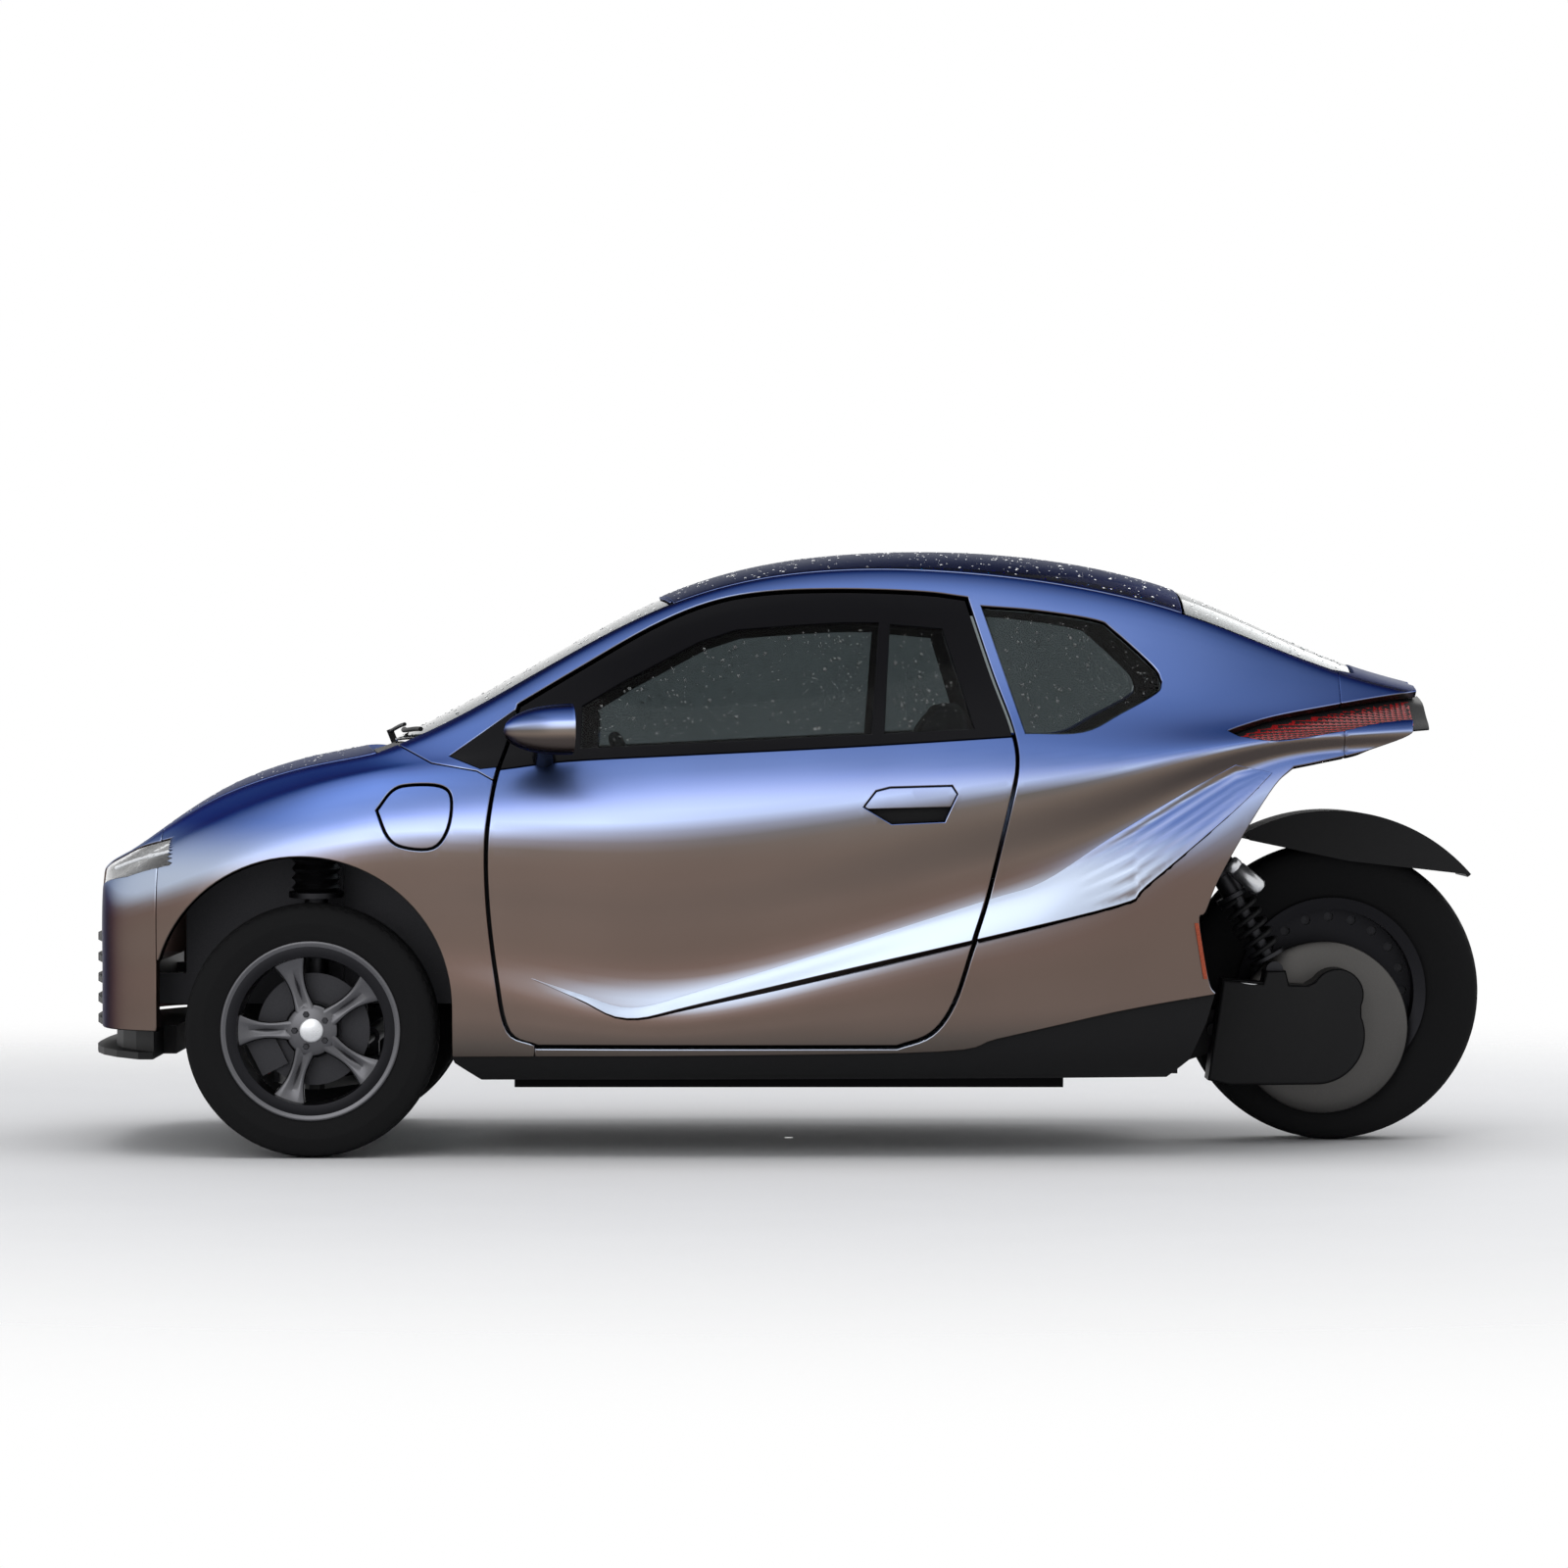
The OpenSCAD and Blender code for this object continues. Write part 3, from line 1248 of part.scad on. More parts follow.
swing_arm();
drive_cover();
rear_shock();
rear_mudguard();
rim_rear();
tyre_rear();
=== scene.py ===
"""Looks of a three-wheeled electric coupe, dressed over its CAD frame in the same metres and axes."""

import logging
import math
from dataclasses import dataclass, field
from enum import Enum
from typing import Callable

import bmesh
import bpy
import numpy as np
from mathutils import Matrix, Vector
from mathutils.geometry import delaunay_2d_cdt


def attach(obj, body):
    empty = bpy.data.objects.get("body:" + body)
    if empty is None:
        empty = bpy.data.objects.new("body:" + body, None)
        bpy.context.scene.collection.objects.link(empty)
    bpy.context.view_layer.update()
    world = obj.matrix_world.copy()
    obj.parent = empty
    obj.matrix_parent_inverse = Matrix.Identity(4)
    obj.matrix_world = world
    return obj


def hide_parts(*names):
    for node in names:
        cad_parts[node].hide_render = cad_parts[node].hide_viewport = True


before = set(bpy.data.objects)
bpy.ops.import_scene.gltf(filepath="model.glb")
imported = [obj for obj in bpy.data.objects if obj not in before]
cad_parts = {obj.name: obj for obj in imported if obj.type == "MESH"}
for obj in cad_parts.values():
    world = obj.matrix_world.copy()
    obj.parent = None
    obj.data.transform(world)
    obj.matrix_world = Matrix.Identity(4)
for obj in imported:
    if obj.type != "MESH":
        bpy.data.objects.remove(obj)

log = logging.getLogger("coupe")
MM = 0.001
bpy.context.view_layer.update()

HALF_W = 730.0
SILL_Z = 165.0
WALL = 46.0
DOOR_GAP = 8.0
LID_GAP = 6.0
SEAM = 2.4
GLASS_IN = 6.0
GLASS_T = 5.0
FRONT_X, FRONT_R, WHEEL_Y = -1069.0, 285.0, 610.0
REAR_X, REAR_R = 1264.0, 346.5
LATTICE = 14.0

# x, zt, ye, ze, yb, zb, in, tuck, zc, zl, d of each body section, as in the CAD source
SECTIONS = np.array([
    [-1578, 640, 0, 622, 0, 588, HALF_W, 0, 420, 360, 0],
    [-1578, 646, 250, 628, 280, 590, 430, 10, 420, 360, 0],
    [-1556, 664, 420, 648, 470, 606, 225, 10, 420, 360, 0],
    [-1495, 690, 480, 676, 555, 635, 118, 10, 425, 360, 0],
    [-1400, 766, 500, 742, 600, 690, 54, 10, 430, 365, 0],
    [-1270, 850, 520, 818, 628, 758, 18, 10, 440, 370, 0],
    [-1100, 902, 545, 872, 645, 822, 2, 12, 450, 380, 0],
    [-980, 918, 565, 892, 650, 852, 0, 16, 460, 390, 0],
    [-900, 950, 578, 908, 652, 866, 0, 20, 465, 395, 0],
    [-760, 1022, 575, 965, 655, 874, 0, 26, 460, 400, 2],
    [-560, 1132, 555, 1085, 660, 884, 0, 30, 420, 365, 10],
    [-330, 1262, 530, 1215, 664, 898, 0, 32, 372, 314, 26],
    [-100, 1341, 512, 1295, 668, 910, 0, 34, 400, 350, 34],
    [150, 1371, 505, 1318, 668, 924, 0, 34, 476, 420, 36],
    [420, 1374, 500, 1306, 662, 942, 2, 34, 572, 490, 38],
    [680, 1345, 485, 1268, 645, 952, 15, 34, 672, 552, 40],
    [900, 1290, 462, 1215, 612, 958, 42, 32, 812, 700, 40],
    [1100, 1194, 440, 1135, 572, 966, 90, 24, 900, 870, 30],
    [1290, 1108, 420, 1066, 525, 980, 150, 16, 912, 884, 20],
    [1450, 1066, 400, 1036, 480, 990, 200, 12, 920, 890, 16]])

BELT = [[-900, 905], [-794, 880], [-697, 868], [-634, 875], [-491, 892], [-246, 905], [121, 923], [504, 947], [720,
                                                                                                               962]]
DOOR_FRONT = [[-560, 254], [-622, 285], [-648, 402], [-667, 560], [-670, 710], [-652, 845], [-626, 930], [-604, 1010]]
DOOR_TOP = [[-604, 1010], [-477, 1086], [-310, 1183], [-180, 1238], [-53, 1262], [121, 1268], [300, 1262], [398,
                                                                                                            1250]]
DOOR_REAR = [[398, 1250], [451, 1085], [494, 965], [506, 882], [486, 773], [438, 577], [403, 466], [364, 350],
             [315, 283], [240, 254]]
PANE_FRONT = [[-466, 918], [-464, 1012], [-378, 1064], [-203, 1156], [-118, 1184], [12, 1194], [120, 1200], [202,
                                                                                                             1200],
              [184, 950]]
PANE_REAR = [[228, 1196], [345, 1186], [415, 962], [214, 952]]
QUARTER_TOP = [[436, 1236], [560, 1226], [693, 1205], [733, 1182], [821, 1101], [840, 1066]]
QUARTER_LOW = [[840, 1066], [827, 1042], [744, 996], [658, 955], [530, 952]]
SAIL = [[-760, 900], [-690, 872], [-636, 878], [-600, 1015]]
SILL_EDGE = [[-755, 226], [-200, 230], [338, 239], [462, 267], [608, 300], [733, 328], [855, 350], [957, 366]]
REAR_EDGE = [[957, 366], [939, 397], [917, 529], [931, 551], [961, 624], [1025, 736], [1089, 833], [1133, 875]]
TAIL_LOW = [[1133, 875], [1186, 885], [1303, 911], [1400, 945], [1410, 976], [1438, 1058]]
LAMP_TOP = [[984, 957], [1088, 987], [1228, 1013], [1347, 1033], [1500, 1054]]
LAMP_LOW = [[1500, 992], [1336, 976], [1226, 953], [1099, 934], [1008, 946]]
FLAP = [[-916, 778], [-884, 820], [-846, 832], [-781, 830], [-756, 806], [-762, 740], [-794, 697], [-859, 699],
        [-892, 722]]
HANDLE = [[166, 786], [194, 822], [225, 830], [364, 834], [376, 815], [347, 753], [229, 748]]
NOSE_SEAM = -1417.0
BUMPER_Z = 282.0
HOOD_SIDE = [[-1528, 0], [-1520, 200], [-1490, 380], [-1430, 448], [-1270, 492], [-1100, 520], [-930, 548]]
HOOD_REAR = [[-930, 548], [-958, 350], [-985, 0]]
SCREEN_LOW = [[-920, 0], [-905, 300], [-842, 528]]
SCREEN_SIDE = [[-842, 528], [-560, 512], [-268, 482]]
SCREEN_TOP = [[-268, 482], [-296, 250], [-305, 0]]
ROOF_SIDE = [[-262, 484], [-100, 476], [150, 470], [420, 466], [680, 452], [892, 432]]
HATCH_SIDE = [[900, 430], [1100, 408], [1240, 390]]
HEADLAMP = [[330, 600], [560, 628], [660, 664], [668, 726], [600, 728], [470, 690], [340, 655]]
LEDGE_TOP = [[-575, 404], [-460, 368], [-350, 340], [-196, 378], [120, 476], [436, 577], [567, 620], [720, 719],
             [883, 817],
             [1000, 880]]
LEDGE_LOW = [[1085, 862], [992, 773], [796, 610], [730, 566], [382, 479], [-185, 348], [-360, 315], [-469, 357]]
RESERVOIR = [[1013, -251.3, 651], [1088, -251.3, 589]]
ARM_LOOP = [[965, 150], [1000, 382], [1092, 372], [1100, 402], [1144, 402], [1152, 368], [1196, 368]]


class View(Enum):
    """How an outline is drawn: its two axes and the third one."""

    SIDE = (0, 2, 1)
    PLAN = (0, 1, 2)
    FRONT = (1, 2, 0)


class Side(Enum):
    """Half of the car that a piece lies on."""

    LEFT = -1
    RIGHT = 1
    BOTH = 0


def smooth(points: list[list[float]], steps: int = 5) -> np.ndarray:
    """Curve through a few points, each span a cubic with the neighbours' slopes.

    Args:
        points: Points in order.
        steps: Steps from one point to the next.
    Returns:
        The curve's points, both ends kept.
    """
    p = np.array(points, float)
    p = np.vstack([2 * p[0] - p[1], p, 2 * p[-1] - p[-2]])
    t = (np.arange(steps) / steps)[None, :, None]
    a, b, c, d = (p[i:len(p) - 3 + i][:, None] for i in range(4))
    curve = 0.5 * (2 * b + (c - a) * t + (2 * a - 5 * b + 4 * c - d) * t**2 + (3 * b - a - 3 * c + d) * t**3)
    return np.vstack([curve.reshape(-1, p.shape[1]), p[-2]])


def mirrored(half: np.ndarray) -> np.ndarray:
    """Closed plan loop from one half, drawn from the centre line round to the centre line."""
    return np.vstack([half, (half * [1, -1])[::-1]])


@dataclass(frozen=True)
class Outline:
    """Closed loop in one view, in millimetres.

    Attributes:
        points: The loop's corners.
        view: The view it is drawn in.
        reach: Lowest and highest value of the third axis where it counts.
    """

    points: np.ndarray
    view: View = View.SIDE
    reach: tuple[float, float] = (-9e9, 9e9)

    def contains(self, xyz: np.ndarray) -> np.ndarray:
        """Mask of the points inside the loop, by counting the edges crossed.

        Args:
            xyz: Points, one per row.
        Returns:
            One truth value per point.
        """
        i, j, k = self.view.value
        h = np.abs(xyz[:, i]) if self.view is View.FRONT else xyz[:, i]
        a, b = self.points, np.roll(self.points, -1, 0)
        z = xyz[:, j, None]
        rise = np.where(a[:, 1] == b[:, 1], 1.0, b[:, 1] - a[:, 1])
        crossed = ((a[:, 1] > z) != (b[:, 1] > z)) & (h[:, None] < a[:, 0] + (z - a[:, 1]) * (b[:, 0] - a[:,
                                                                                                          0]) / rise)
        return (crossed.sum(1) % 2 == 1) & (xyz[:, k] > self.reach[0]) & (xyz[:, k] < self.reach[1])

    def grown(self, by: float) -> "Outline":
        """The loop moved outwards along the corners' normals.

        Args:
            by: Distance, negative for inwards.
        Returns:
            The moved loop.
        """
        p = self.points[np.linalg.norm(self.points - np.roll(self.points, 1, 0), axis=1) > 1e-6]
        edge = np.roll(p, -1, 0) - p
        area = np.sum(p[:, 0] * np.roll(p[:, 1], -1) - np.roll(p[:, 0], -1) * p[:, 1])
        n = np.stack([edge[:, 1], -edge[:, 0]], 1) / np.linalg.norm(edge, axis=1)[:, None] * np.sign(area)
        m = n + np.roll(n, 1, 0)
        m /= np.maximum(np.sum(m * n, 1), 0.5)[:, None]
        return Outline(p + by * m, self.view, self.reach)

    def path(self, step: float = 9.0) -> np.ndarray:
        """The loop with points no farther apart than step, the first one not repeated."""
        p = np.vstack([self.points, self.points[:1]])
        length = np.linalg.norm(np.diff(p, axis=0), axis=1)
        count = np.maximum(1, np.ceil(length / step)).astype(int)
        at = np.concatenate([k + np.arange(n) / n for k, n in enumerate(count)])
        return np.stack([np.interp(at, np.arange(len(p)), p[:, c]) for c in (0, 1)], 1)


def side(*curves: list | np.ndarray, reach: tuple[float, float] = (-9e9, 9e9)) -> Outline:
    """Side-view outline from curves joined end to end."""
    return Outline(np.vstack([np.array(c, float) for c in curves]), View.SIDE, reach)


def plan(*curves: list | np.ndarray) -> Outline:
    """Plan outline from the curves of its right half, counted above the bumper only."""
    return Outline(mirrored(np.vstack([np.array(c, float) for c in curves])), View.PLAN, (500.0, 9e9))


class Loft:
    """The body's surface: a cubic B-spline net over u, from nose to tail, and v, from crown to floor."""

    def __init__(self) -> None:
        """Builds the padded net and the tables that turn u and v into lengths."""
        x, zt, ye, ze, yb, zb, draw, tuck, zc, zl, d = SECTIONS.T
        ys = HALF_W - draw
        share = ys / HALF_W
        ym = ys - tuck * share
        z1 = zt - 0.2 * (zt - ze)
        low = np.full_like(x, SILL_Z)
        ys_ = np.stack([0 * x, 0.6 * ye, 0.89 * ye, ye, ye + 0.22 * (yb - ye), ye + 0.74 * (yb - ye),
                        yb + 10 * share, ys,
                        ym + 4 * share, ym - 4 * share, ym + d, ym + d - 8 * share, ym + d - 34 * share, 0.7 * ys,
                        0 * x], 1)
        zs = np.stack([zt + (zt - z1) / 2, z1, ze + 0.3 * (zt - ze), ze, ze - 0.26 * (ze - zb),
                       ze - 0.8 * (ze - zb), zb,
                       zb - 0.32 * (zb - zc), zb - 0.72 * (zb - zc), zc, zl, (zl + low) / 2, low, low - 40,
                       low - 40], 1)
        net = np.stack([np.repeat(x[:, None], ys_.shape[1], 1), np.maximum(0, ys_) * (share > 0)[:, None], zs], 2)
        flip = np.array([1.0, -1.0, 1.0])
        net = np.concatenate([(net[1] * flip)[None], net, (2 * net[-1] - net[-2])[None]])
        self.net = np.concatenate([(net[:, 1] * flip)[:, None], net, (net[:, -2] * flip)[:, None]], 1)
        self.u_max, self.v_max = len(x) - 1.0, ys_.shape[1] - 1.0
        self.us, self.vs = np.linspace(0, self.u_max, 115), np.linspace(0, self.v_max, 85)
        gu, gv = np.meshgrid(self.us, self.vs, indexing="ij")
        self.grid_u, self.grid_v = gu.ravel(), gv.ravel()
        self.grid = self.at(self.grid_u, self.grid_v)[0]
        g = self.grid.reshape(*gu.shape, 3)
        along = np.linalg.norm(np.diff(g, axis=0), axis=2).mean(1)
        around = np.linalg.norm(np.diff(g, axis=1), axis=2).mean(0)
        self.a_s, self.b_s = np.append(0, np.cumsum(along)), np.append(0, np.cumsum(around))

    @staticmethod
    def weights(t: np.ndarray) -> tuple[np.ndarray, np.ndarray]:
        """The four B-spline weights at t from 0 to 1, and their slopes."""
        w = np.stack([(1 - t)**3, 3 * t**3 - 6 * t**2 + 4, -3 * t**3 + 3 * t**2 + 3 * t + 1, t**3], 1) / 6
        s = np.stack([-3 * (1 - t)**2, 9 * t**2 - 12 * t, -9 * t**2 + 6 * t + 3, 3 * t**2], 1) / 6
        return w, s

    def at(self, u: np.ndarray, v: np.ndarray) -> tuple[np.ndarray, np.ndarray, np.ndarray]:
        """Point and both slopes at u and v; a negative v is on the left.

        Args:
            u: Places along the car.
            v: Places round the section.
        Returns:
            Points, slopes along u and slopes along v, in millimetres.
        """
        mirror = np.where(v < 0, -1.0, 1.0)
        u, w = np.clip(u, 0, self.u_max), np.clip(np.abs(v), 0, self.v_max)
        i = np.minimum(u.astype(int), int(self.u_max) - 1)
        j = np.minimum(w.astype(int), int(self.v_max) - 1)
        wu, su = self.weights(u - i)
        wv, sv = self.weights(w - j)
        patch = self.net[i[:, None, None] + np.arange(4)[None, :, None], j[:, None, None] + np.arange(4)[None, None,
                                                                                                         :]]
        p = np.einsum("na,nb,nabc->nc", wu, wv, patch)
        pu = np.einsum("na,nb,nabc->nc", su, wv, patch)
        pv = np.einsum("na,nb,nabc->nc", wu, sv, patch) * mirror[:, None]
        for q in (p, pu, pv):
            q[:, 1] *= mirror
        return p, pu, pv

    def normal(self, u: np.ndarray, v: np.ndarray) -> tuple[np.ndarray, np.ndarray]:
        """Points and outward unit normals at u and v."""
        p, pu, pv = self.at(u, v)
        n = np.cross(pu, pv)
        return p, n / np.maximum(np.linalg.norm(n, axis=1), 1e-9)[:, None]

    def find(self, view: View, places: np.ndarray, half: int) -> tuple[np.ndarray, np.ndarray, np.ndarray]:
        """u and v of points given in one view, by nearest sample and Newton steps.

        Args:
            view: The view of the points.
            places: Two coordinates per point.
            half: Side of the car for a side view, 1 or -1.
        Returns:
            u, v and a mask of the points that lie on the surface.
        """
        axes = list(view.value[:2])
        q = places.copy()
        sign = np.full(len(q), float(half))
        if view is not View.SIDE:
            column = 1 if view is View.PLAN else 0
            sign = np.where(q[:, column] < 0, -1.0, 1.0)
            q[:, column] = np.abs(q[:, column])
        lows = {View.SIDE: (2.5, 13.0, 0.0, 19.0), View.PLAN: (0.0, 7.2, 0.0, 19.0), View.FRONT: (1.0, 12.0, 0.0,
                                                                                                  6.0)}[view]
        near = (self.grid_v >= lows[0]) & (self.grid_v <= lows[1]) & (self.grid_u >= lows[2]) & (self.grid_u <= lows[3])
        gu, gv, g = self.grid_u[near], self.grid_v[near], self.grid[near][:, axes]
        best = np.concatenate([np.argmin(((c[:, None] - g[None])**2).sum(2), 1) for c in np.array_split(q,
                                                                                                        len(q) // 60 + 1)])
        u, v = gu[best].copy(), gv[best].copy()
        for _ in range(10):
            p, pu, pv = self.at(u, v)
            r = q - p[:, axes]
            a, b, c, d = pu[:, axes[0]], pv[:, axes[0]], pu[:, axes[1]], pv[:, axes[1]]
            det = a * d - b * c
            det = np.where(np.abs(det) < 1.0, np.where(det < 0, -1.0, 1.0), det)
            u = np.clip(u + np.clip((d * r[:, 0] - b * r[:, 1]) / det, -0.4, 0.4), 0, self.u_max)
            v = np.clip(v + np.clip((a * r[:, 1] - c * r[:, 0]) / det, -0.4, 0.4), 0, self.v_max - 0.5)
        miss = np.linalg.norm(q - self.at(u, v)[0][:, axes], axis=1)
        return u, v * sign, miss < 0.8

    def flat(self, u: np.ndarray, v: np.ndarray) -> np.ndarray:
        """u and v as lengths in millimetres, for triangulating."""
        return np.stack([np.interp(u, self.us, self.a_s), np.sign(v) * np.interp(np.abs(v), self.vs, self.b_s)], 1)

    def round(self, ab: np.ndarray) -> tuple[np.ndarray, np.ndarray]:
        """Back from lengths to u and v."""
        v = np.sign(ab[:, 1]) * np.interp(np.abs(ab[:, 1]), self.b_s, self.vs)
        return np.interp(ab[:, 0], self.a_s, self.us), v


LOFT = Loft()


@dataclass
class Solid:
    """Closed mesh in millimetres: points, faces and a normal for each point where it is known."""

    points: np.ndarray
    faces: list
    normals: np.ndarray | None = None

    @staticmethod
    def joined(solids: list["Solid"]) -> "Solid":
        """Several solids as one mesh."""
        faces, start = [], 0
        for s in solids:
            faces.extend([[i + start for i in f] for f in s.faces])
            start += len(s.points)
        normals = None if any(s.normals is None for s in solids) else np.vstack([s.normals for s in solids])
        return Solid(np.vstack([s.points for s in solids]), faces, normals)

    def flipped(self) -> "Solid":
        """Mirror image on the other side of the car."""
        m = np.array([1.0, -1.0, 1.0])
        return Solid(self.points * m, [f[::-1] for f in self.faces],
                     None if self.normals is None else self.normals * m)


def panel(inside: list[Outline], outside: list[Outline], half: Side, depth: float, inset: float = 0.0,
          edge: float = 3.0, spacing: float = LATTICE, rise: Callable[[np.ndarray],
                                                                      np.ndarray] | None = None) -> Solid:
    """Piece of the body's skin between outlines, with a rolled edge and a back face.

    The outlines are laid on the surface, a lattice of points and the outlines are triangulated in the plane of
    lengths, the triangles within are kept, and each boundary point is rolled inwards over a quarter circle.

    Args:
        inside: Outlines that the piece lies within.
        outside: Outlines that are cut away.
        half: Side of the car.
        depth: How far the back face lies inside the front one.
        inset: How far the front face lies inside the body's surface.
        edge: Radius of the rolled edge.
        spacing: Distance between the lattice's points.
        rise: How far each point stands out further, if anything.
    Returns:
        The closed piece.
    """
    rules = [(o.grown(-edge), True) for o in inside] + [(o.grown(edge), False) for o in outside]
    spots, links, frame_spots, count = [], [], [], 0
    for rule, keep in rules:
        halves = [half.value] if half is not Side.BOTH else ([1, -1] if rule.view is View.SIDE else [1])
        for h in halves:
            places = rule.path()
            if rule.view is View.FRONT:
                places = places * [h if half is not Side.BOTH else 1, 1]
            for mirror in ([1, -1] if rule.view is View.FRONT and half is Side.BOTH else [1]):
                u, v, good = LOFT.find(rule.view, places * ([mirror, 1] if rule.view is View.FRONT else [1, 1]), h)
                if half is not Side.BOTH:
                    good &= np.sign(v) * half.value >= 0
                ab = LOFT.flat(u, v)
                nxt = np.roll(np.arange(len(u)), -1)
                step = np.linalg.norm(ab[nxt] - ab, axis=1)
                pair = good & good[nxt] & (step < 90)
                links.append(np.stack([np.arange(len(u))[pair], nxt[pair]], 1) + count)
                spots.append(ab)
                frame_spots.append(ab[good] if keep else ab[:0])
                count += len(u)
    curve, box = np.vstack(spots), np.vstack(frame_spots)
    lo, hi = box.min(0), box.max(0)
    aa, bb = np.meshgrid(np.arange(lo[0], hi[0], spacing), np.arange(lo[1], hi[1], spacing), indexing="ij")
    grid = np.stack([aa.ravel(), bb.ravel()], 1)
    near = np.concatenate([((c[:, None] - curve[None])**2).sum(2).min(1) for c in np.array_split(grid,
                                                                                                 len(grid) // 400 + 1)])
    grid = grid[near > (0.45 * spacing)**2]
    verts, _, faces, *_ = delaunay_2d_cdt([Vector(p) for p in np.vstack([curve, grid])],
                                          [tuple(map(int, e)) for e in np.vstack(links)], [], 0, 1e-3)
    ab = np.array([tuple(p) for p in verts])
    tri = np.array(faces)
    mid = LOFT.at(*LOFT.round(ab[tri].mean(1)))[0]
    keep = np.ones(len(tri), bool)
    for rule, wanted in rules:
        keep &= rule.contains(mid) == wanted
    if half is not Side.BOTH:
        keep &= mid[:, 1] * half.value > 0
    e1, e2 = ab[tri[:, 1]] - ab[tri[:, 0]], ab[tri[:, 2]] - ab[tri[:, 0]]
    keep &= np.abs(e1[:, 0] * e2[:, 1] - e1[:, 1] * e2[:, 0]) > 1e-3
    tri = tri[keep]
    used, tri = np.unique(tri, return_inverse=True)
    tri = tri.reshape(-1, 3)
    p, n = LOFT.normal(*LOFT.round(ab[used]))
    if rise is not None:
        p = p + n * rise(p)[:, None]
        n = face_normals(p, n, tri)
    return rolled(p - n * inset, n, tri, depth, edge)


def face_normals(p: np.ndarray, n: np.ndarray, tri: np.ndarray) -> np.ndarray:
    """Normals of points as the mean of the faces round them, on the side of the old normals n."""
    area = np.cross(p[tri[:, 1]] - p[tri[:, 0]], p[tri[:, 2]] - p[tri[:, 0]])
    area *= np.sign(np.sum(area * n[tri[:, 0]], 1))[:, None]
    total = np.zeros_like(p)
    for k in range(3):
        np.add.at(total, tri[:, k], area)
    return total / np.maximum(np.linalg.norm(total, axis=1), 1e-9)[:, None]


def rolled(p: np.ndarray, n: np.ndarray, tri: np.ndarray, depth: float, edge: float) -> Solid:
    """Closed piece from a triangulated face: the edge rolls over a quarter circle, then a wall and a back face.

    Args:
        p: Points of the face.
        n: Outward normals.
        tri: Triangles.
        depth: Distance of the back face.
        edge: Radius of the roll.
    Returns:
        The closed piece with its normals.
    """
    area = np.cross(p[tri[:, 1]] - p[tri[:, 0]], p[tri[:, 2]] - p[tri[:, 0]])
    backwards = np.sum(area * n[tri[:, 0]], 1) < 0
    tri[backwards] = tri[backwards][:, ::-1]
    pairs = np.vstack([tri[:, [0, 1]], tri[:, [1, 2]], tri[:, [2, 0]]])
    key = np.sort(pairs, 1)
    _, first, times = np.unique(key[:, 0] * (len(p) + 1) + key[:, 1], return_index=True, return_counts=True)
    rim = pairs[first[times == 1]]
    way = p[rim[:, 1]] - p[rim[:, 0]]
    out = np.cross(way / np.maximum(np.linalg.norm(way, axis=1), 1e-9)[:, None], n[rim[:, 0]])
    push = np.zeros_like(p)
    np.add.at(push, rim[:, 0], out)
    np.add.at(push, rim[:, 1], out)
    ring = np.unique(rim)
    push = push[ring] / np.maximum(np.linalg.norm(push[ring], axis=1), 1e-9)[:, None]
    place = np.full(len(p), -1)
    place[ring] = np.arange(len(ring))
    layers, normals = [p], [n]
    for angle in (math.pi / 6, math.pi / 3, math.pi / 2):
        layers.append(p[ring] + push * edge * math.sin(angle) - n[ring] * edge * (1 - math.cos(angle)))
        normals.append(n[ring] * math.cos(angle) + push * math.sin(angle))
    layers += [p[ring] + push * edge - n[ring] * depth, p - n * depth]
    normals += [push, -n]
    starts = np.cumsum([0] + [len(x) for x in layers])
    faces = [tri]
    rows = [rim] + [place[rim] + s for s in starts[1:5]] + [rim + starts[5]]
    for a, b in zip(rows[:-1], rows[1:]):
        faces += [np.stack([a[:, 1], a[:, 0], b[:, 0]], 1), np.stack([a[:, 1], b[:, 0], b[:, 1]], 1)]
    faces.append(tri[:, ::-1] + starts[5])
    return Solid(np.vstack(layers), np.vstack(faces).tolist(), np.vstack(normals))


def sheet(grid: np.ndarray, round_u: bool = False, round_v: bool = False, capped: bool = False) -> Solid:
    """Mesh over a grid of points, closed along u or v where asked, with flat or pole ends.

    Args:
        grid: Points, rows by columns by three.
        round_u: Joins the last row to the first.
        round_v: Joins the last column to the first.
        capped: Closes the first and last row with a face each.
    Returns:
        The mesh.
    """
    n, m = grid.shape[:2]
    i, j = np.meshgrid(np.arange(n if round_u else n - 1), np.arange(m if round_v else m - 1), indexing="ij")
    i2, j2 = (i + 1) % n, (j + 1) % m
    faces = np.stack([i * m + j, i2 * m + j, i2 * m + j2, i * m + j2], 2).reshape(-1, 4).tolist()
    if capped:
        faces += [list(range(m)), [(n - 1) * m + k for k in range(m)][::-1]]
    return Solid(grid.reshape(-1, 3), faces)


def turned(profile: np.ndarray, centre: tuple[float, float, float], steps: int = 96, closed: bool = True) -> Solid:
    """Surface of revolution about Y: each profile point is a radius and a place along Y, swept round in equal steps."""
    a = np.linspace(0, 2 * math.pi, steps, endpoint=False)
    r, y = profile[:, 0, None], profile[:, 1, None]
    grid = np.stack([centre[0] + r * np.cos(a), centre[1] + y + 0 * a, centre[2] + r * np.sin(a)], 2)
    return sheet(grid, round_u=closed, round_v=True)


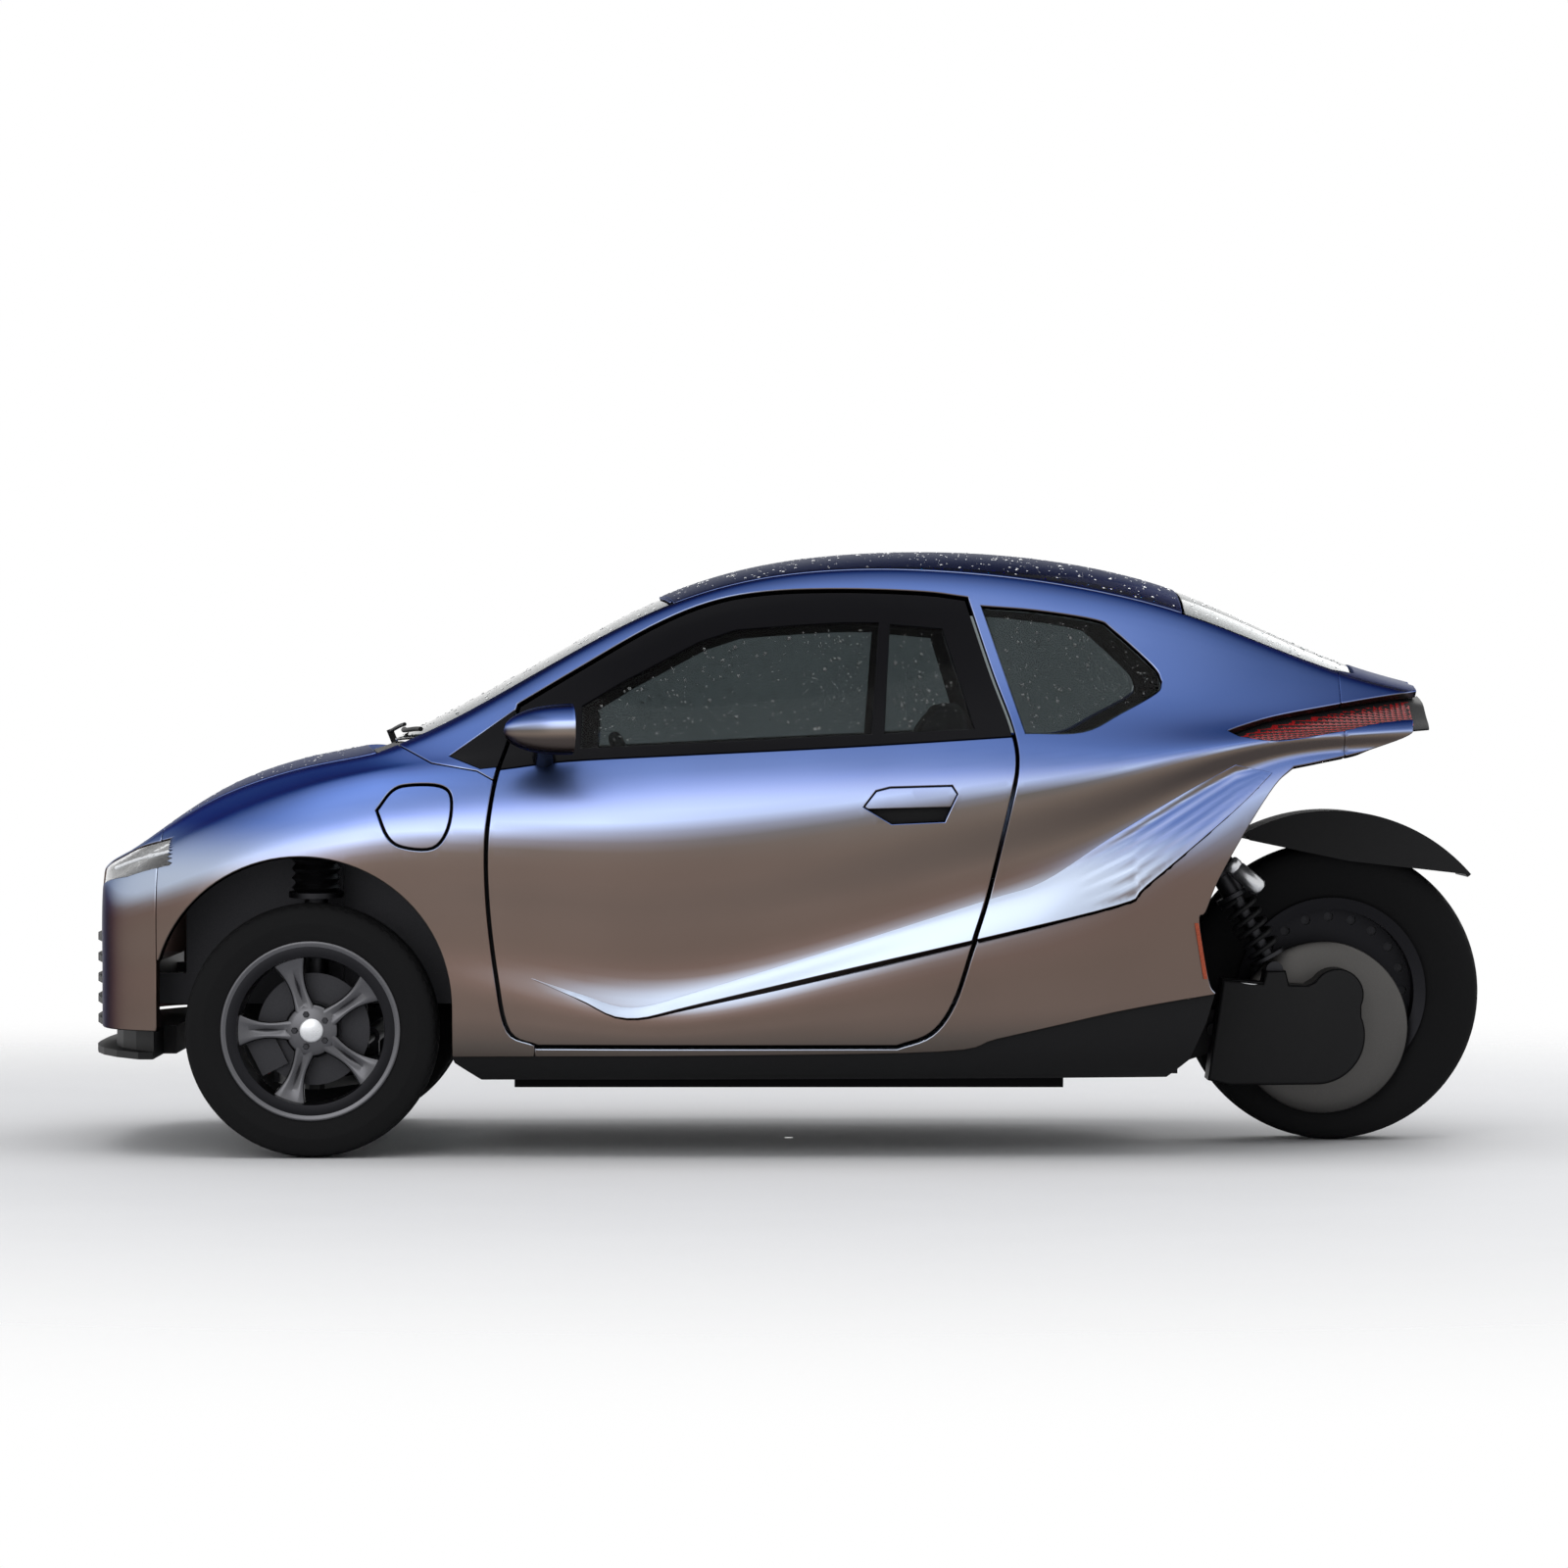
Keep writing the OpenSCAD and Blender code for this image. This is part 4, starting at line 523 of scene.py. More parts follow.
def tube(path: np.ndarray, radius: float | np.ndarray, sides: int = 12) -> Solid:
    """Round bar along a path: circles square to it, turned with a frame carried along.

    Args:
        path: Points of the centre line.
        radius: One radius, or one per point.
        sides: Points round.
    Returns:
        The capped bar.
    """
    way = np.gradient(path, axis=0)
    way /= np.linalg.norm(way, axis=1)[:, None]
    ref = np.array([0.0, 0.0, 1.0]) if abs(way[:, 2]).mean() < 0.8 else np.array([0.0, 1.0, 0.0])
    b = np.cross(way, ref)
    b /= np.linalg.norm(b, axis=1)[:, None]
    c = np.cross(b, way)
    a = np.linspace(0, 2 * math.pi, sides, endpoint=False)[None, :, None]
    r = np.broadcast_to(radius, len(path))[:, None, None]
    grid = path[:, None] + r * (np.cos(a) * b[:, None] + np.sin(a) * c[:, None])
    return sheet(grid, round_v=True, capped=True)


def slab(outline: np.ndarray, y0: float, y1: float, edge: float = 4.0) -> Solid:
    """Flat plate along Y from a side outline, its rims rounded over a quarter circle.

    Args:
        outline: Closed loop of x and z.
        y0: Lower face.
        y1: Upper face.
        edge: Radius of the rounded rims.
    Returns:
        The closed plate.
    """
    o = Outline(outline)
    turns = np.linspace(0, math.pi / 2, 5)
    insets = np.concatenate([edge * (1 - np.sin(turns)), edge * (1 - np.sin(turns[::-1]))])
    ys = np.concatenate([y0 + edge * (1 - np.cos(turns)), y1 - edge * (1 - np.cos(turns[::-1]))])
    rows = [o.grown(-k).points for k in insets]
    grid = np.stack([np.stack([r[:, 0], np.full(len(r), y), r[:, 1]], 1) for r, y in zip(rows, ys)])
    return sheet(grid, round_v=True, capped=True)


class Shader:
    """Writer of one material's nodes."""

    def __init__(self, name: str) -> None:
        """Starts a material with its one surface shader."""
        self.material = bpy.data.materials.new(f"finish_{name}")
        self.material.use_nodes = True
        self.tree = self.material.node_tree
        self.surface = self.tree.nodes["Principled BSDF"]

    def node(self, kind: str, **values: object) -> bpy.types.Node:
        """New node with its inputs set by name, underscores for spaces."""
        made = self.tree.nodes.new(kind)
        for key, value in values.items():
            made.inputs[key.replace("_", " ")].default_value = value
        return made

    def set(self, **values: object) -> None:
        """Sets inputs of the surface shader, underscores for spaces."""
        for key, value in values.items():
            self.surface.inputs[key.replace("_", " ")].default_value = value

    def link(self, out: bpy.types.NodeSocket, to: bpy.types.NodeSocket) -> None:
        """Joins two sockets."""
        self.tree.links.new(out, to)

    def grain(self, scale: float, detail: float = 4.0, stretch: tuple[float, float, float] = (1, 1,
                                                                                              1)) -> bpy.types.Node:
        """Shared grain group on object coordinates: value and height from two noises of different size."""
        made = self.tree.nodes.new("ShaderNodeGroup")
        made.node_tree = grain_group()
        made.inputs["Scale"].default_value = scale
        made.inputs["Detail"].default_value = detail
        made.inputs["Stretch"].default_value = stretch
        return made

    def ramp(self, value: bpy.types.NodeSocket, low: float, high: float) -> bpy.types.NodeSocket:
        """Maps a value from 0 to 1 onto low to high."""
        made = self.tree.nodes.new("ShaderNodeMapRange")
        made.inputs["To Min"].default_value = low
        made.inputs["To Max"].default_value = high
        self.link(value, made.inputs["Value"])
        return made.outputs["Result"]

    def mix(self, factor: bpy.types.NodeSocket, a: tuple, b: tuple) -> bpy.types.NodeSocket:
        """Colour between two, by a factor."""
        made = self.tree.nodes.new("ShaderNodeMix")
        made.data_type = "RGBA"
        made.inputs[6].default_value = (*a, 1)
        made.inputs[7].default_value = (*b, 1)
        self.link(factor, made.inputs[0])
        return made.outputs[2]

    def bump(self, height: bpy.types.NodeSocket, strength: float, distance: float) -> None:
        """Feeds a height into the surface's normal."""
        made = self.node("ShaderNodeBump", Strength=strength, Distance=distance)
        self.link(height, made.inputs["Height"])
        self.link(made.outputs["Normal"], self.surface.inputs["Normal"])


def grain_group() -> bpy.types.NodeTree:
    """The grain group, made once: fine noise for height, the sum of fine and coarse noise for value."""
    found = bpy.data.node_groups.get("grain")
    if found:
        return found
    tree = bpy.data.node_groups.new("grain", "ShaderNodeTree")
    tree.interface.new_socket("Scale", in_out="INPUT", socket_type="NodeSocketFloat")
    tree.interface.new_socket("Detail", in_out="INPUT", socket_type="NodeSocketFloat")
    tree.interface.new_socket("Stretch", in_out="INPUT", socket_type="NodeSocketVector")
    tree.interface.new_socket("Value", in_out="OUTPUT", socket_type="NodeSocketFloat")
    tree.interface.new_socket("Height", in_out="OUTPUT", socket_type="NodeSocketFloat")
    start, end = tree.nodes.new("NodeGroupInput"), tree.nodes.new("NodeGroupOutput")
    place = tree.nodes.new("ShaderNodeTexCoord")
    scaled = tree.nodes.new("ShaderNodeVectorMath")
    scaled.operation = "MULTIPLY"
    fine, coarse = tree.nodes.new("ShaderNodeTexNoise"), tree.nodes.new("ShaderNodeTexNoise")
    coarse.inputs["Scale"].default_value = 3.0
    both = tree.nodes.new("ShaderNodeMath")
    both.operation = "MULTIPLY_ADD"
    both.inputs[1].default_value = 0.5
    half = tree.nodes.new("ShaderNodeMath")
    half.operation = "MULTIPLY"
    half.inputs[1].default_value = 0.5
    link = tree.links.new
    link(place.outputs["Object"], scaled.inputs[0])
    link(start.outputs["Stretch"], scaled.inputs[1])
    link(scaled.outputs[0], fine.inputs["Vector"])
    link(start.outputs["Scale"], fine.inputs["Scale"])
    link(start.outputs["Detail"], fine.inputs["Detail"])
    link(place.outputs["Object"], coarse.inputs["Vector"])
    link(coarse.outputs["Fac"], half.inputs[0])
    link(fine.outputs["Fac"], both.inputs[0])
    link(half.outputs[0], both.inputs[2])
    link(both.outputs[0], end.inputs["Value"])
    link(fine.outputs["Fac"], end.inputs["Height"])
    return tree


@dataclass(frozen=True)
class Finish:
    """One look, from a few constants.

    Attributes:
        name: Material name.
        slot: The record's material slot, not used.
        low: Darker colour of the grain.
        high: Lighter colour of the grain.
        rough: Lowest and highest roughness.
        metal: Metallic share.
        scale: Scale of the grain.
        depth: Bump distance in metres.
        coat: Clear coat's weight.
        stretch: How the grain is drawn out along each axis.
        gloss: Level of the mirror part.
    """

    name: str
    slot: str
    low: tuple[float, float, float]
    high: tuple[float, float, float]
    rough: tuple[float, float] = (0.4, 0.6)
    metal: float = 0.0
    scale: float = 700.0
    depth: float = 0.0003
    coat: float = 0.0
    stretch: tuple[float, float, float] = (1, 1, 1)
    gloss: float = 0.5

    def material(self) -> bpy.types.Material:
        """The material, made on first use."""
        return bpy.data.materials.get(f"finish_{self.name}") or self.make()

    def make(self) -> bpy.types.Material:
        """Grain in colour, roughness and height over plain constants."""
        s = Shader(self.name)
        g = s.grain(self.scale, stretch=self.stretch)
        s.set(Metallic=self.metal, Coat_Weight=self.coat, Coat_Roughness=0.06, Specular_IOR_Level=self.gloss)
        s.link(s.mix(g.outputs["Value"], self.low, self.high), s.surface.inputs["Base Color"])
        s.link(s.ramp(g.outputs["Value"], *self.rough), s.surface.inputs["Roughness"])
        s.bump(g.outputs["Height"], 0.35, self.depth)
        return s.material


@dataclass(frozen=True)
class PaintFinish(Finish):
    """Satin metallic paint whose colour is the piece's own attribute of painted reflection and shade, with fine flakes
    under a clear coat.
    """

    def make(self) -> bpy.types.Material:
        """Painted reflection attribute times flakes; a soft orange peel in the coat."""
        s = Shader(self.name)
        # Base colour: the painted reflection and shade stored on each point
        painted_reflection_tint = s.tree.nodes.new("ShaderNodeAttribute")
        painted_reflection_tint.attribute_name = "painted_reflection_tint"
        g = s.grain(self.scale)
        flakes = s.tree.nodes.new("ShaderNodeMix")
        flakes.data_type, flakes.blend_type = "RGBA", "MULTIPLY"
        flakes.inputs[0].default_value = 1.0
        s.link(painted_reflection_tint.outputs["Color"], flakes.inputs[6])
        s.link(s.mix(g.outputs["Value"], (0.82, 0.82, 0.82), (1.14, 1.14, 1.14)), flakes.inputs[7])
        s.link(flakes.outputs[2], s.surface.inputs["Base Color"])
        s.set(Metallic=self.metal, Coat_Weight=self.coat, Coat_Roughness=0.05, Specular_Tint=(0.12, 0.15, 0.26, 1))
        s.link(s.ramp(g.outputs["Value"], *self.rough), s.surface.inputs["Roughness"])
        s.bump(g.outputs["Height"], 0.06, self.depth)
        return s.material


@dataclass(frozen=True)
class GlassFinish(Finish):
    """Clear or tinted glass with small beads of rain as bump and roughness."""

    beads: float = 1.0
    index: float = 1.45

    def make(self) -> bpy.types.Material:
        """Cells of a fine pattern, cut to round beads, in height and roughness."""
        s = Shader(self.name)
        place = s.tree.nodes.new("ShaderNodeTexCoord")
        cells = s.node("ShaderNodeTexVoronoi", Scale=self.scale)
        s.link(place.outputs["Object"], cells.inputs["Vector"])
        bead = s.tree.nodes.new("ShaderNodeMapRange")
        bead.interpolation_type = "SMOOTHSTEP"
        for key, value in {"From Min": 0.12, "From Max": 0.34, "To Min": self.beads, "To Max": 0.0}.items():
            bead.inputs[key].default_value = value
        s.link(cells.outputs["Distance"], bead.inputs["Value"])
        s.set(Transmission_Weight=1.0, IOR=self.index, Metallic=0.0)
        g = s.grain(40.0)
        s.link(s.mix(g.outputs["Value"], self.low, self.high), s.surface.inputs["Base Color"])
        s.link(s.ramp(bead.outputs["Result"], *self.rough), s.surface.inputs["Roughness"])
        s.bump(bead.outputs["Result"], 0.5, self.depth)
        return s.material


@dataclass(frozen=True)
class WovenFinish(Finish):
    """Cloth of crossing threads: two waves at right angles in height and colour."""

    def make(self) -> bpy.types.Material:
        """Product of two waves drives colour and bump."""
        s = Shader(self.name)
        place = s.tree.nodes.new("ShaderNodeTexCoord")
        waves = []
        for axis in ("X", "Z"):
            w = s.node("ShaderNodeTexWave", Scale=self.scale, Distortion=0.6)
            w.bands_direction = axis
            s.link(place.outputs["Object"], w.inputs["Vector"])
            waves.append(w.outputs["Fac"])
        both = s.tree.nodes.new("ShaderNodeMath")
        both.operation = "MULTIPLY"
        s.link(waves[0], both.inputs[0])
        s.link(waves[1], both.inputs[1])
        s.link(s.mix(both.outputs[0], self.low, self.high), s.surface.inputs["Base Color"])
        s.set(Roughness=0.85, Sheen_Weight=0.3)
        s.bump(both.outputs[0], 0.5, self.depth)
        return s.material


@dataclass(frozen=True)
class LensFinish(Finish):
    """Coloured lens with a prism pattern behind a smooth face."""

    lamp_and_painted_glow: float = 0.0

    def make(self) -> bpy.types.Material:
        """Small cells in height under a clear coat, a little light of its own: lamp glow on the red lens, painted glow
        on the orange reflectors.
        """
        s = Shader(self.name)
        place = s.tree.nodes.new("ShaderNodeTexCoord")
        cells = s.node("ShaderNodeTexVoronoi", Scale=self.scale)
        s.link(place.outputs["Object"], cells.inputs["Vector"])
        s.link(s.mix(cells.outputs["Distance"], self.high, self.low), s.surface.inputs["Base Color"])
        s.set(Roughness=self.rough[0], Coat_Weight=0.15, Coat_Roughness=0.05, Specular_IOR_Level=0.2)
        s.set(Emission_Color=(*self.high, 1),
              Emission_Strength=self.lamp_and_painted_glow)
        s.bump(cells.outputs["Distance"], 0.4, self.depth)
        return s.material


# The paint's colour is each piece's painted reflection and shade attribute, not these two colours
PAINT = PaintFinish("satin_paint", "body_paint", (0, 0, 0), (0, 0, 0), (0.24, 0.4), 1.0, 2600.0, 0.0002, 0.03)
BLACK = Finish("black_plastic", "black_plastic", (0.004, 0.004, 0.0045), (0.011, 0.011, 0.012), (0.42, 0.6), 0.0,
               900.0, gloss=0.15)
GLOSS = Finish("gloss_black", "black_plastic", (0.002, 0.002, 0.003), (0.006, 0.006, 0.008), (0.2, 0.32), 0.0, 500.0,
               0.00004, 0.0, gloss=0.05)
GLASS = GlassFinish("tinted_glass", "tinted_glass", (0.13, 0.15, 0.155), (0.24, 0.27, 0.275), (0.015, 0.05), 0.0,
                    130.0, 0.00003, beads=0.15, index=1.14)
CLEAR = GlassFinish("clear_cover", "lamp_clear", (0.88, 0.9, 0.92), (0.96, 0.97, 0.98), (0.01, 0.03), 0.0, 90.0,
                    0.0003, beads=0.4)
RED = LensFinish("red_lens", "lamp_red", (0.1, 0.004, 0.006), (0.4, 0.012, 0.014), (0.12, 0.2), 0.0, 260.0, 0.0008,
                 lamp_and_painted_glow=0.12)
# The reflectors are no lamps: their small emission is a painted glow
ORANGE = LensFinish("orange_lens", "reflector_orange", (0.2, 0.03, 0.012), (0.42, 0.08, 0.03), (0.15, 0.2), 0.0,
                    320.0, 0.0008, lamp_and_painted_glow=0.1)
STEEL = Finish("dark_steel", "dark_steel", (0.02, 0.02, 0.022), (0.06, 0.06, 0.066), (0.35, 0.55), 1.0, 400.0)
ALLOY = Finish("silver_alloy", "silver_alloy", (0.5, 0.51, 0.53), (0.72, 0.73, 0.75), (0.22, 0.36), 1.0, 260.0,
               0.0001, 0.2, (1, 8, 1))
GRAPHITE = Finish("graphite_alloy", "silver_alloy", (0.008, 0.008, 0.009), (0.022, 0.022, 0.025), (0.3, 0.42), 1.0,
                  900.0, 0.0001, 0.0)
METAL = Finish("black_metal", "black_metal", (0.005, 0.005, 0.0055), (0.016, 0.016, 0.017), (0.38, 0.55), 0.0, 600.0,
               0.0003, gloss=0.15)
RUBBER = Finish("rubber", "tyre", (0.005, 0.005, 0.0055), (0.014, 0.014, 0.0145), (0.62, 0.85), 0.0, 500.0, 0.0004,
                gloss=0.08)
CLOTH = WovenFinish("seat_cloth", "seat_cloth", (0.018, 0.02, 0.024), (0.07, 0.075, 0.085), (0.8, 0.9), 0.0, 260.0,
                    0.0006)
CARPET = Finish("carpet", "black_plastic", (0.012, 0.012, 0.013), (0.04, 0.04, 0.043), (0.85, 0.95), 0.0, 350.0,
                0.002)
CASE = Finish("battery_case", "battery_case", (0.003, 0.003, 0.0035), (0.009, 0.009, 0.01), (0.5, 0.7), 0.0, 300.0,
              0.0004, gloss=0.03)
SPOKE = Finish("spoke_alloy", "silver_alloy", (0.06, 0.06, 0.066), (0.15, 0.15, 0.16), (0.24, 0.36), 1.0, 700.0,
               0.0001, 0.0)
SATIN = Finish("satin_cover", "silver_alloy", (0.06, 0.058, 0.056), (0.12, 0.116, 0.112), (0.34, 0.46), 1.0, 500.0,
               0.0001)
WATER = GlassFinish("rain_water", "tinted_glass", (0.93, 0.94, 0.95), (0.98, 0.985, 0.99), (0.0, 0.01), 0.0, 60.0,
                    0.00002, beads=0.1)
CALIPER = Finish("caliper_red", "dark_steel", (0.1, 0.012, 0.012), (0.2, 0.03, 0.028), (0.3, 0.45), 0.1, 500.0,
                 0.0002, 0.4)
CHROME = Finish("mirror_metal", "silver_alloy", (0.75, 0.76, 0.78), (0.85, 0.86, 0.88), (0.03, 0.08), 1.0, 120.0,
                0.00002)

# Painted reflection and shade in the paint's colour, against the upward part of the surface's normal, low on the flank
# and high on the body: a brown floor reflection on faces turned sideways and down, a blue sky reflection on faces
# tilted up, and, high on the body, a deep blue shade on faces turned straight up
LOW_AT = [-0.6, -0.2, -0.1, -0.04, 0.04, 0.12, 0.2, 0.3, 0.6, 1.0]
LOW_PAINTED_REFLECTIONS = np.array([[0.05, 0.04, 0.035], [0.12, 0.1, 0.088], [0.17, 0.125, 0.105], [0.15, 0.108, 0.09], [0.145,
                                                                                                           0.1,
                                                                                                           0.085],
                      [0.17, 0.135, 0.13], [0.28, 0.29, 0.34], [0.42, 0.48, 0.6], [0.45, 0.52, 0.64], [0.48, 0.55,
                                                                                                       0.66]])
HIGH_AT = [-0.3, -0.1, -0.04, 0.0, 0.07, 0.15, 0.22, 0.3, 0.36, 0.45, 0.55, 0.75, 1.0]
HIGH_PAINTED_REFLECTIONS = np.array([[0.08, 0.065, 0.06], [0.16, 0.125, 0.105], [0.165, 0.135, 0.12], [0.13, 0.115, 0.105],
                       [0.22, 0.235, 0.31], [0.42, 0.51, 0.76], [0.33, 0.4, 0.68], [0.2, 0.27, 0.56], [0.125, 0.185,
                                                                                                       0.41],
                       [0.065, 0.105, 0.26], [0.042, 0.072, 0.19], [0.022, 0.036, 0.1], [0.013, 0.024, 0.066]])


def painted_reflection_tint(up: np.ndarray, x: np.ndarray, z: np.ndarray) -> np.ndarray:
    """Colour of the paint, made of painted reflection and shade: two tables over the normal's upward part, blended
    between 620 and 760 mm of height.

    Args:
        up: Upward part of each normal.
        x: Places along the car.
        z: Heights.
    Returns:
        Red, green, blue and one for each point; the bonnet's upper side is a little lighter, a painted highlight.
    """
    low = np.stack([np.interp(up, LOW_AT, LOW_PAINTED_REFLECTIONS[:, c]) for c in range(3)], 1)
    high = np.stack([np.interp(up, HIGH_AT, HIGH_PAINTED_REFLECTIONS[:, c]) for c in range(3)], 1)
    # Painted highlight: bonnet faces ahead of x = -620 that look up get up to twice as light
    bonnet_highlight = 1 + 1.0 * np.clip((-620 - x) / 300, 0, 1) * np.clip((up - 0.3) / 0.25, 0, 1)
    share = np.clip((z - 620) / 140, 0, 1)[:, None]
    share = share * share * (3 - 2 * share)
    return np.hstack([low + (high * bonnet_highlight[:, None] - low) * share, np.ones((len(up), 1))])


def mesh(name: str, solid: Solid, body: str, finish: Finish, *nodes: str) -> bpy.types.Object:
    """Object in metres from a solid, riding on its body, with its finish and the CAD nodes it stands for.

    Args:
        name: Object name.
        solid: The mesh in millimetres.
        body: Body it rides on.
        finish: Its look.
        nodes: CAD nodes it replaces.
    Returns:
        The object.
    """
    data = bpy.data.meshes.new(name)
    data.from_pydata((solid.points * MM).tolist(), [], solid.faces)
    data.validate()
    if solid.normals is None:
        work = bmesh.new()
        work.from_mesh(data)
        bmesh.ops.remove_doubles(work, verts=work.verts, dist=1e-6)
        bmesh.ops.recalc_face_normals(work, faces=work.faces)
        work.to_mesh(data)
        work.free()
    data.shade_smooth()
    if solid.normals is not None and len(data.vertices) == len(solid.normals):
        data.normals_split_custom_set_from_vertices(solid.normals.tolist())
    elif solid.normals is None:
        data.set_sharp_from_angle(angle=math.radians(40))
    made = bpy.data.objects.new(name, data)
    bpy.context.scene.collection.objects.link(made)
    data.materials.append(finish.material())
    # Paint pieces get a colour attribute of painted reflection and shade, from each point's normal, place along the car
    # and height
    if isinstance(finish, PaintFinish):
        up = np.zeros(len(data.vertices) * 3)
        data.vertices.foreach_get("normal", up)
        up = up.reshape(-1, 3)[:, 2] if solid.normals is None else solid.normals[:, 2]
        spots = np.zeros(len(data.vertices) * 3)
        data.vertices.foreach_get("co", spots)
        spots = spots.reshape(-1, 3) / MM
        painted_colours = painted_reflection_tint(up, spots[:, 0], spots[:, 2])
        data.color_attributes.new("painted_reflection_tint", "FLOAT_COLOR", "POINT").data.foreach_set("color", painted_colours.ravel())
    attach(made, body)
    if nodes:
        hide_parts(*nodes)
    log.info("%s: %d faces", name, len(data.polygons))
    return made


def wear(finish: Finish, *nodes: str) -> None:
    """Gives CAD nodes that stay in view a finish."""
    for node in nodes:
        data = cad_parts[node].data
        data.materials.clear()
        data.materials.append(finish.material())


DOOR = side(smooth(DOOR_FRONT), smooth(DOOR_TOP)[1:], smooth(DOOR_REAR)[1:])
BELOW_BELT = side(smooth(BELT) - [0, 4], [[720, 100], [-900, 100]])
ABOVE_BELT = side(smooth(BELT) - [0, 2.4], [[720, 1500], [-900, 1500]])
HINGE_NOTCH = side([[-700, 612], [-586, 612], [-586, 708], [-700, 708]])
QUARTER = side(smooth(QUARTER_TOP), smooth(QUARTER_LOW)[1:])
PANES = [side(PANE_FRONT), side(PANE_REAR)]
SAIL_CUT = side(SAIL)
HOOD = plan(smooth(HOOD_SIDE), smooth(HOOD_REAR)[1:])
SCREEN = plan(smooth(SCREEN_LOW), smooth(SCREEN_SIDE)[1:], smooth(SCREEN_TOP)[1:])
SCUTTLE = plan(smooth(SCREEN_LOW) - [SEAM, 0], smooth(HOOD_REAR) + [LID_GAP + SEAM, 0])
ROOF = plan([[-300, 0], [-290, 250]], smooth(ROOF_SIDE), [[898, 428], [898, 0]])
HATCH = plan([[900, 0]], smooth(HATCH_SIDE), [[1284, 350], [1296, 0]])
LAMP = side(smooth(LAMP_TOP), smooth(LAMP_LOW))
ARCH_A = np.linspace(0, math.pi, 49)
ARCH = side(np.stack([FRONT_X - 21 + 338 * np.cos(ARCH_A), 337 + 338 * np.sin(ARCH_A)], 1), [[-1428, -50], [-752,
                                                                                                            -50]])
BODY = side([[-1700, BUMPER_Z], [-1300, BUMPER_Z]], smooth(SILL_EDGE), smooth(REAR_EDGE)[1:], smooth(TAIL_LOW)[1:],
            [[1438, 1500], [-1700, 1500]])
WING_EDGE = smooth(DOOR_FRONT) - [DOOR_GAP, 0]
WING = side([[-560 - DOOR_GAP, 100]], WING_EDGE[WING_EDGE[:, 1] < 850], [[-697, 866], [-800, 884], [-880, 925],
            [-880, 1500], [NOSE_SEAM, 1500], [NOSE_SEAM, 100]])
NOSE = side([[-1700, 100], [NOSE_SEAM, 100], [NOSE_SEAM, 1500], [-1700, 1500]])
REAR_ZONE = side([[-880, 60], [1250, 60], [1250, 1500], [-880, 1500]])
TAIL_ZONE = side([[1250, 60], [1436, 60], [1436, 1500], [1250, 1500]])
FLAP_CUT = side(smooth(FLAP + FLAP[:1])[:-1], reach=(-9e9, 0))
HANDLE_CUT = side(HANDLE)
LIGHT = Outline(np.array(HEADLAMP, float), View.FRONT, (-1600, -1385))
INTAKE = Outline(np.array([[-5, 200], [409, 200], [409, 487], [-5, 487]], float), View.FRONT, (-1650, -1510))
ABOVE_LAMP = side(smooth(LAMP_TOP), [[1500, 1500], [984, 1500]])
BELOW_LAMP = side(smooth(LAMP_LOW), [[1008, 700], [1500, 700]])
LEDGE = side(smooth(LEDGE_TOP), smooth(LEDGE_LOW))
HALVES = ((Side.LEFT, "left"), (Side.RIGHT, "right"))


def ledge_rise(p: np.ndarray) -> np.ndarray:
    """How far the flank's ledge stands out: a ramp from its upper line to its lower edge, ribbed towards the tail.

    Args:
        p: Points of the body's surface.
    Returns:
        Distance along the normal for each point.
    """
    top, low = smooth(LEDGE_TOP), smooth(LEDGE_LOW)[::-1]
    zt = np.interp(p[:, 0], top[:, 0], top[:, 1])
    zl = np.interp(p[:, 0], low[:, 0], low[:, 1])
    down = np.clip((zt - p[:, 2]) / np.maximum(zt - zl, 12), 0, 1)
    ends = np.clip((p[:, 0] + 560) / 190, 0, 1) * np.clip((1090 - p[:, 0]) / 330, 0.15, 1)
    ribs = np.clip((p[:, 0] - 640) / 120, 0, 1) * 1.3 * np.sin(2 * math.pi * 5 * down)
    return 0.5 + np.clip(0.36 * (zt - zl), 8, 24) * down**1.3 * ends + ribs * ends


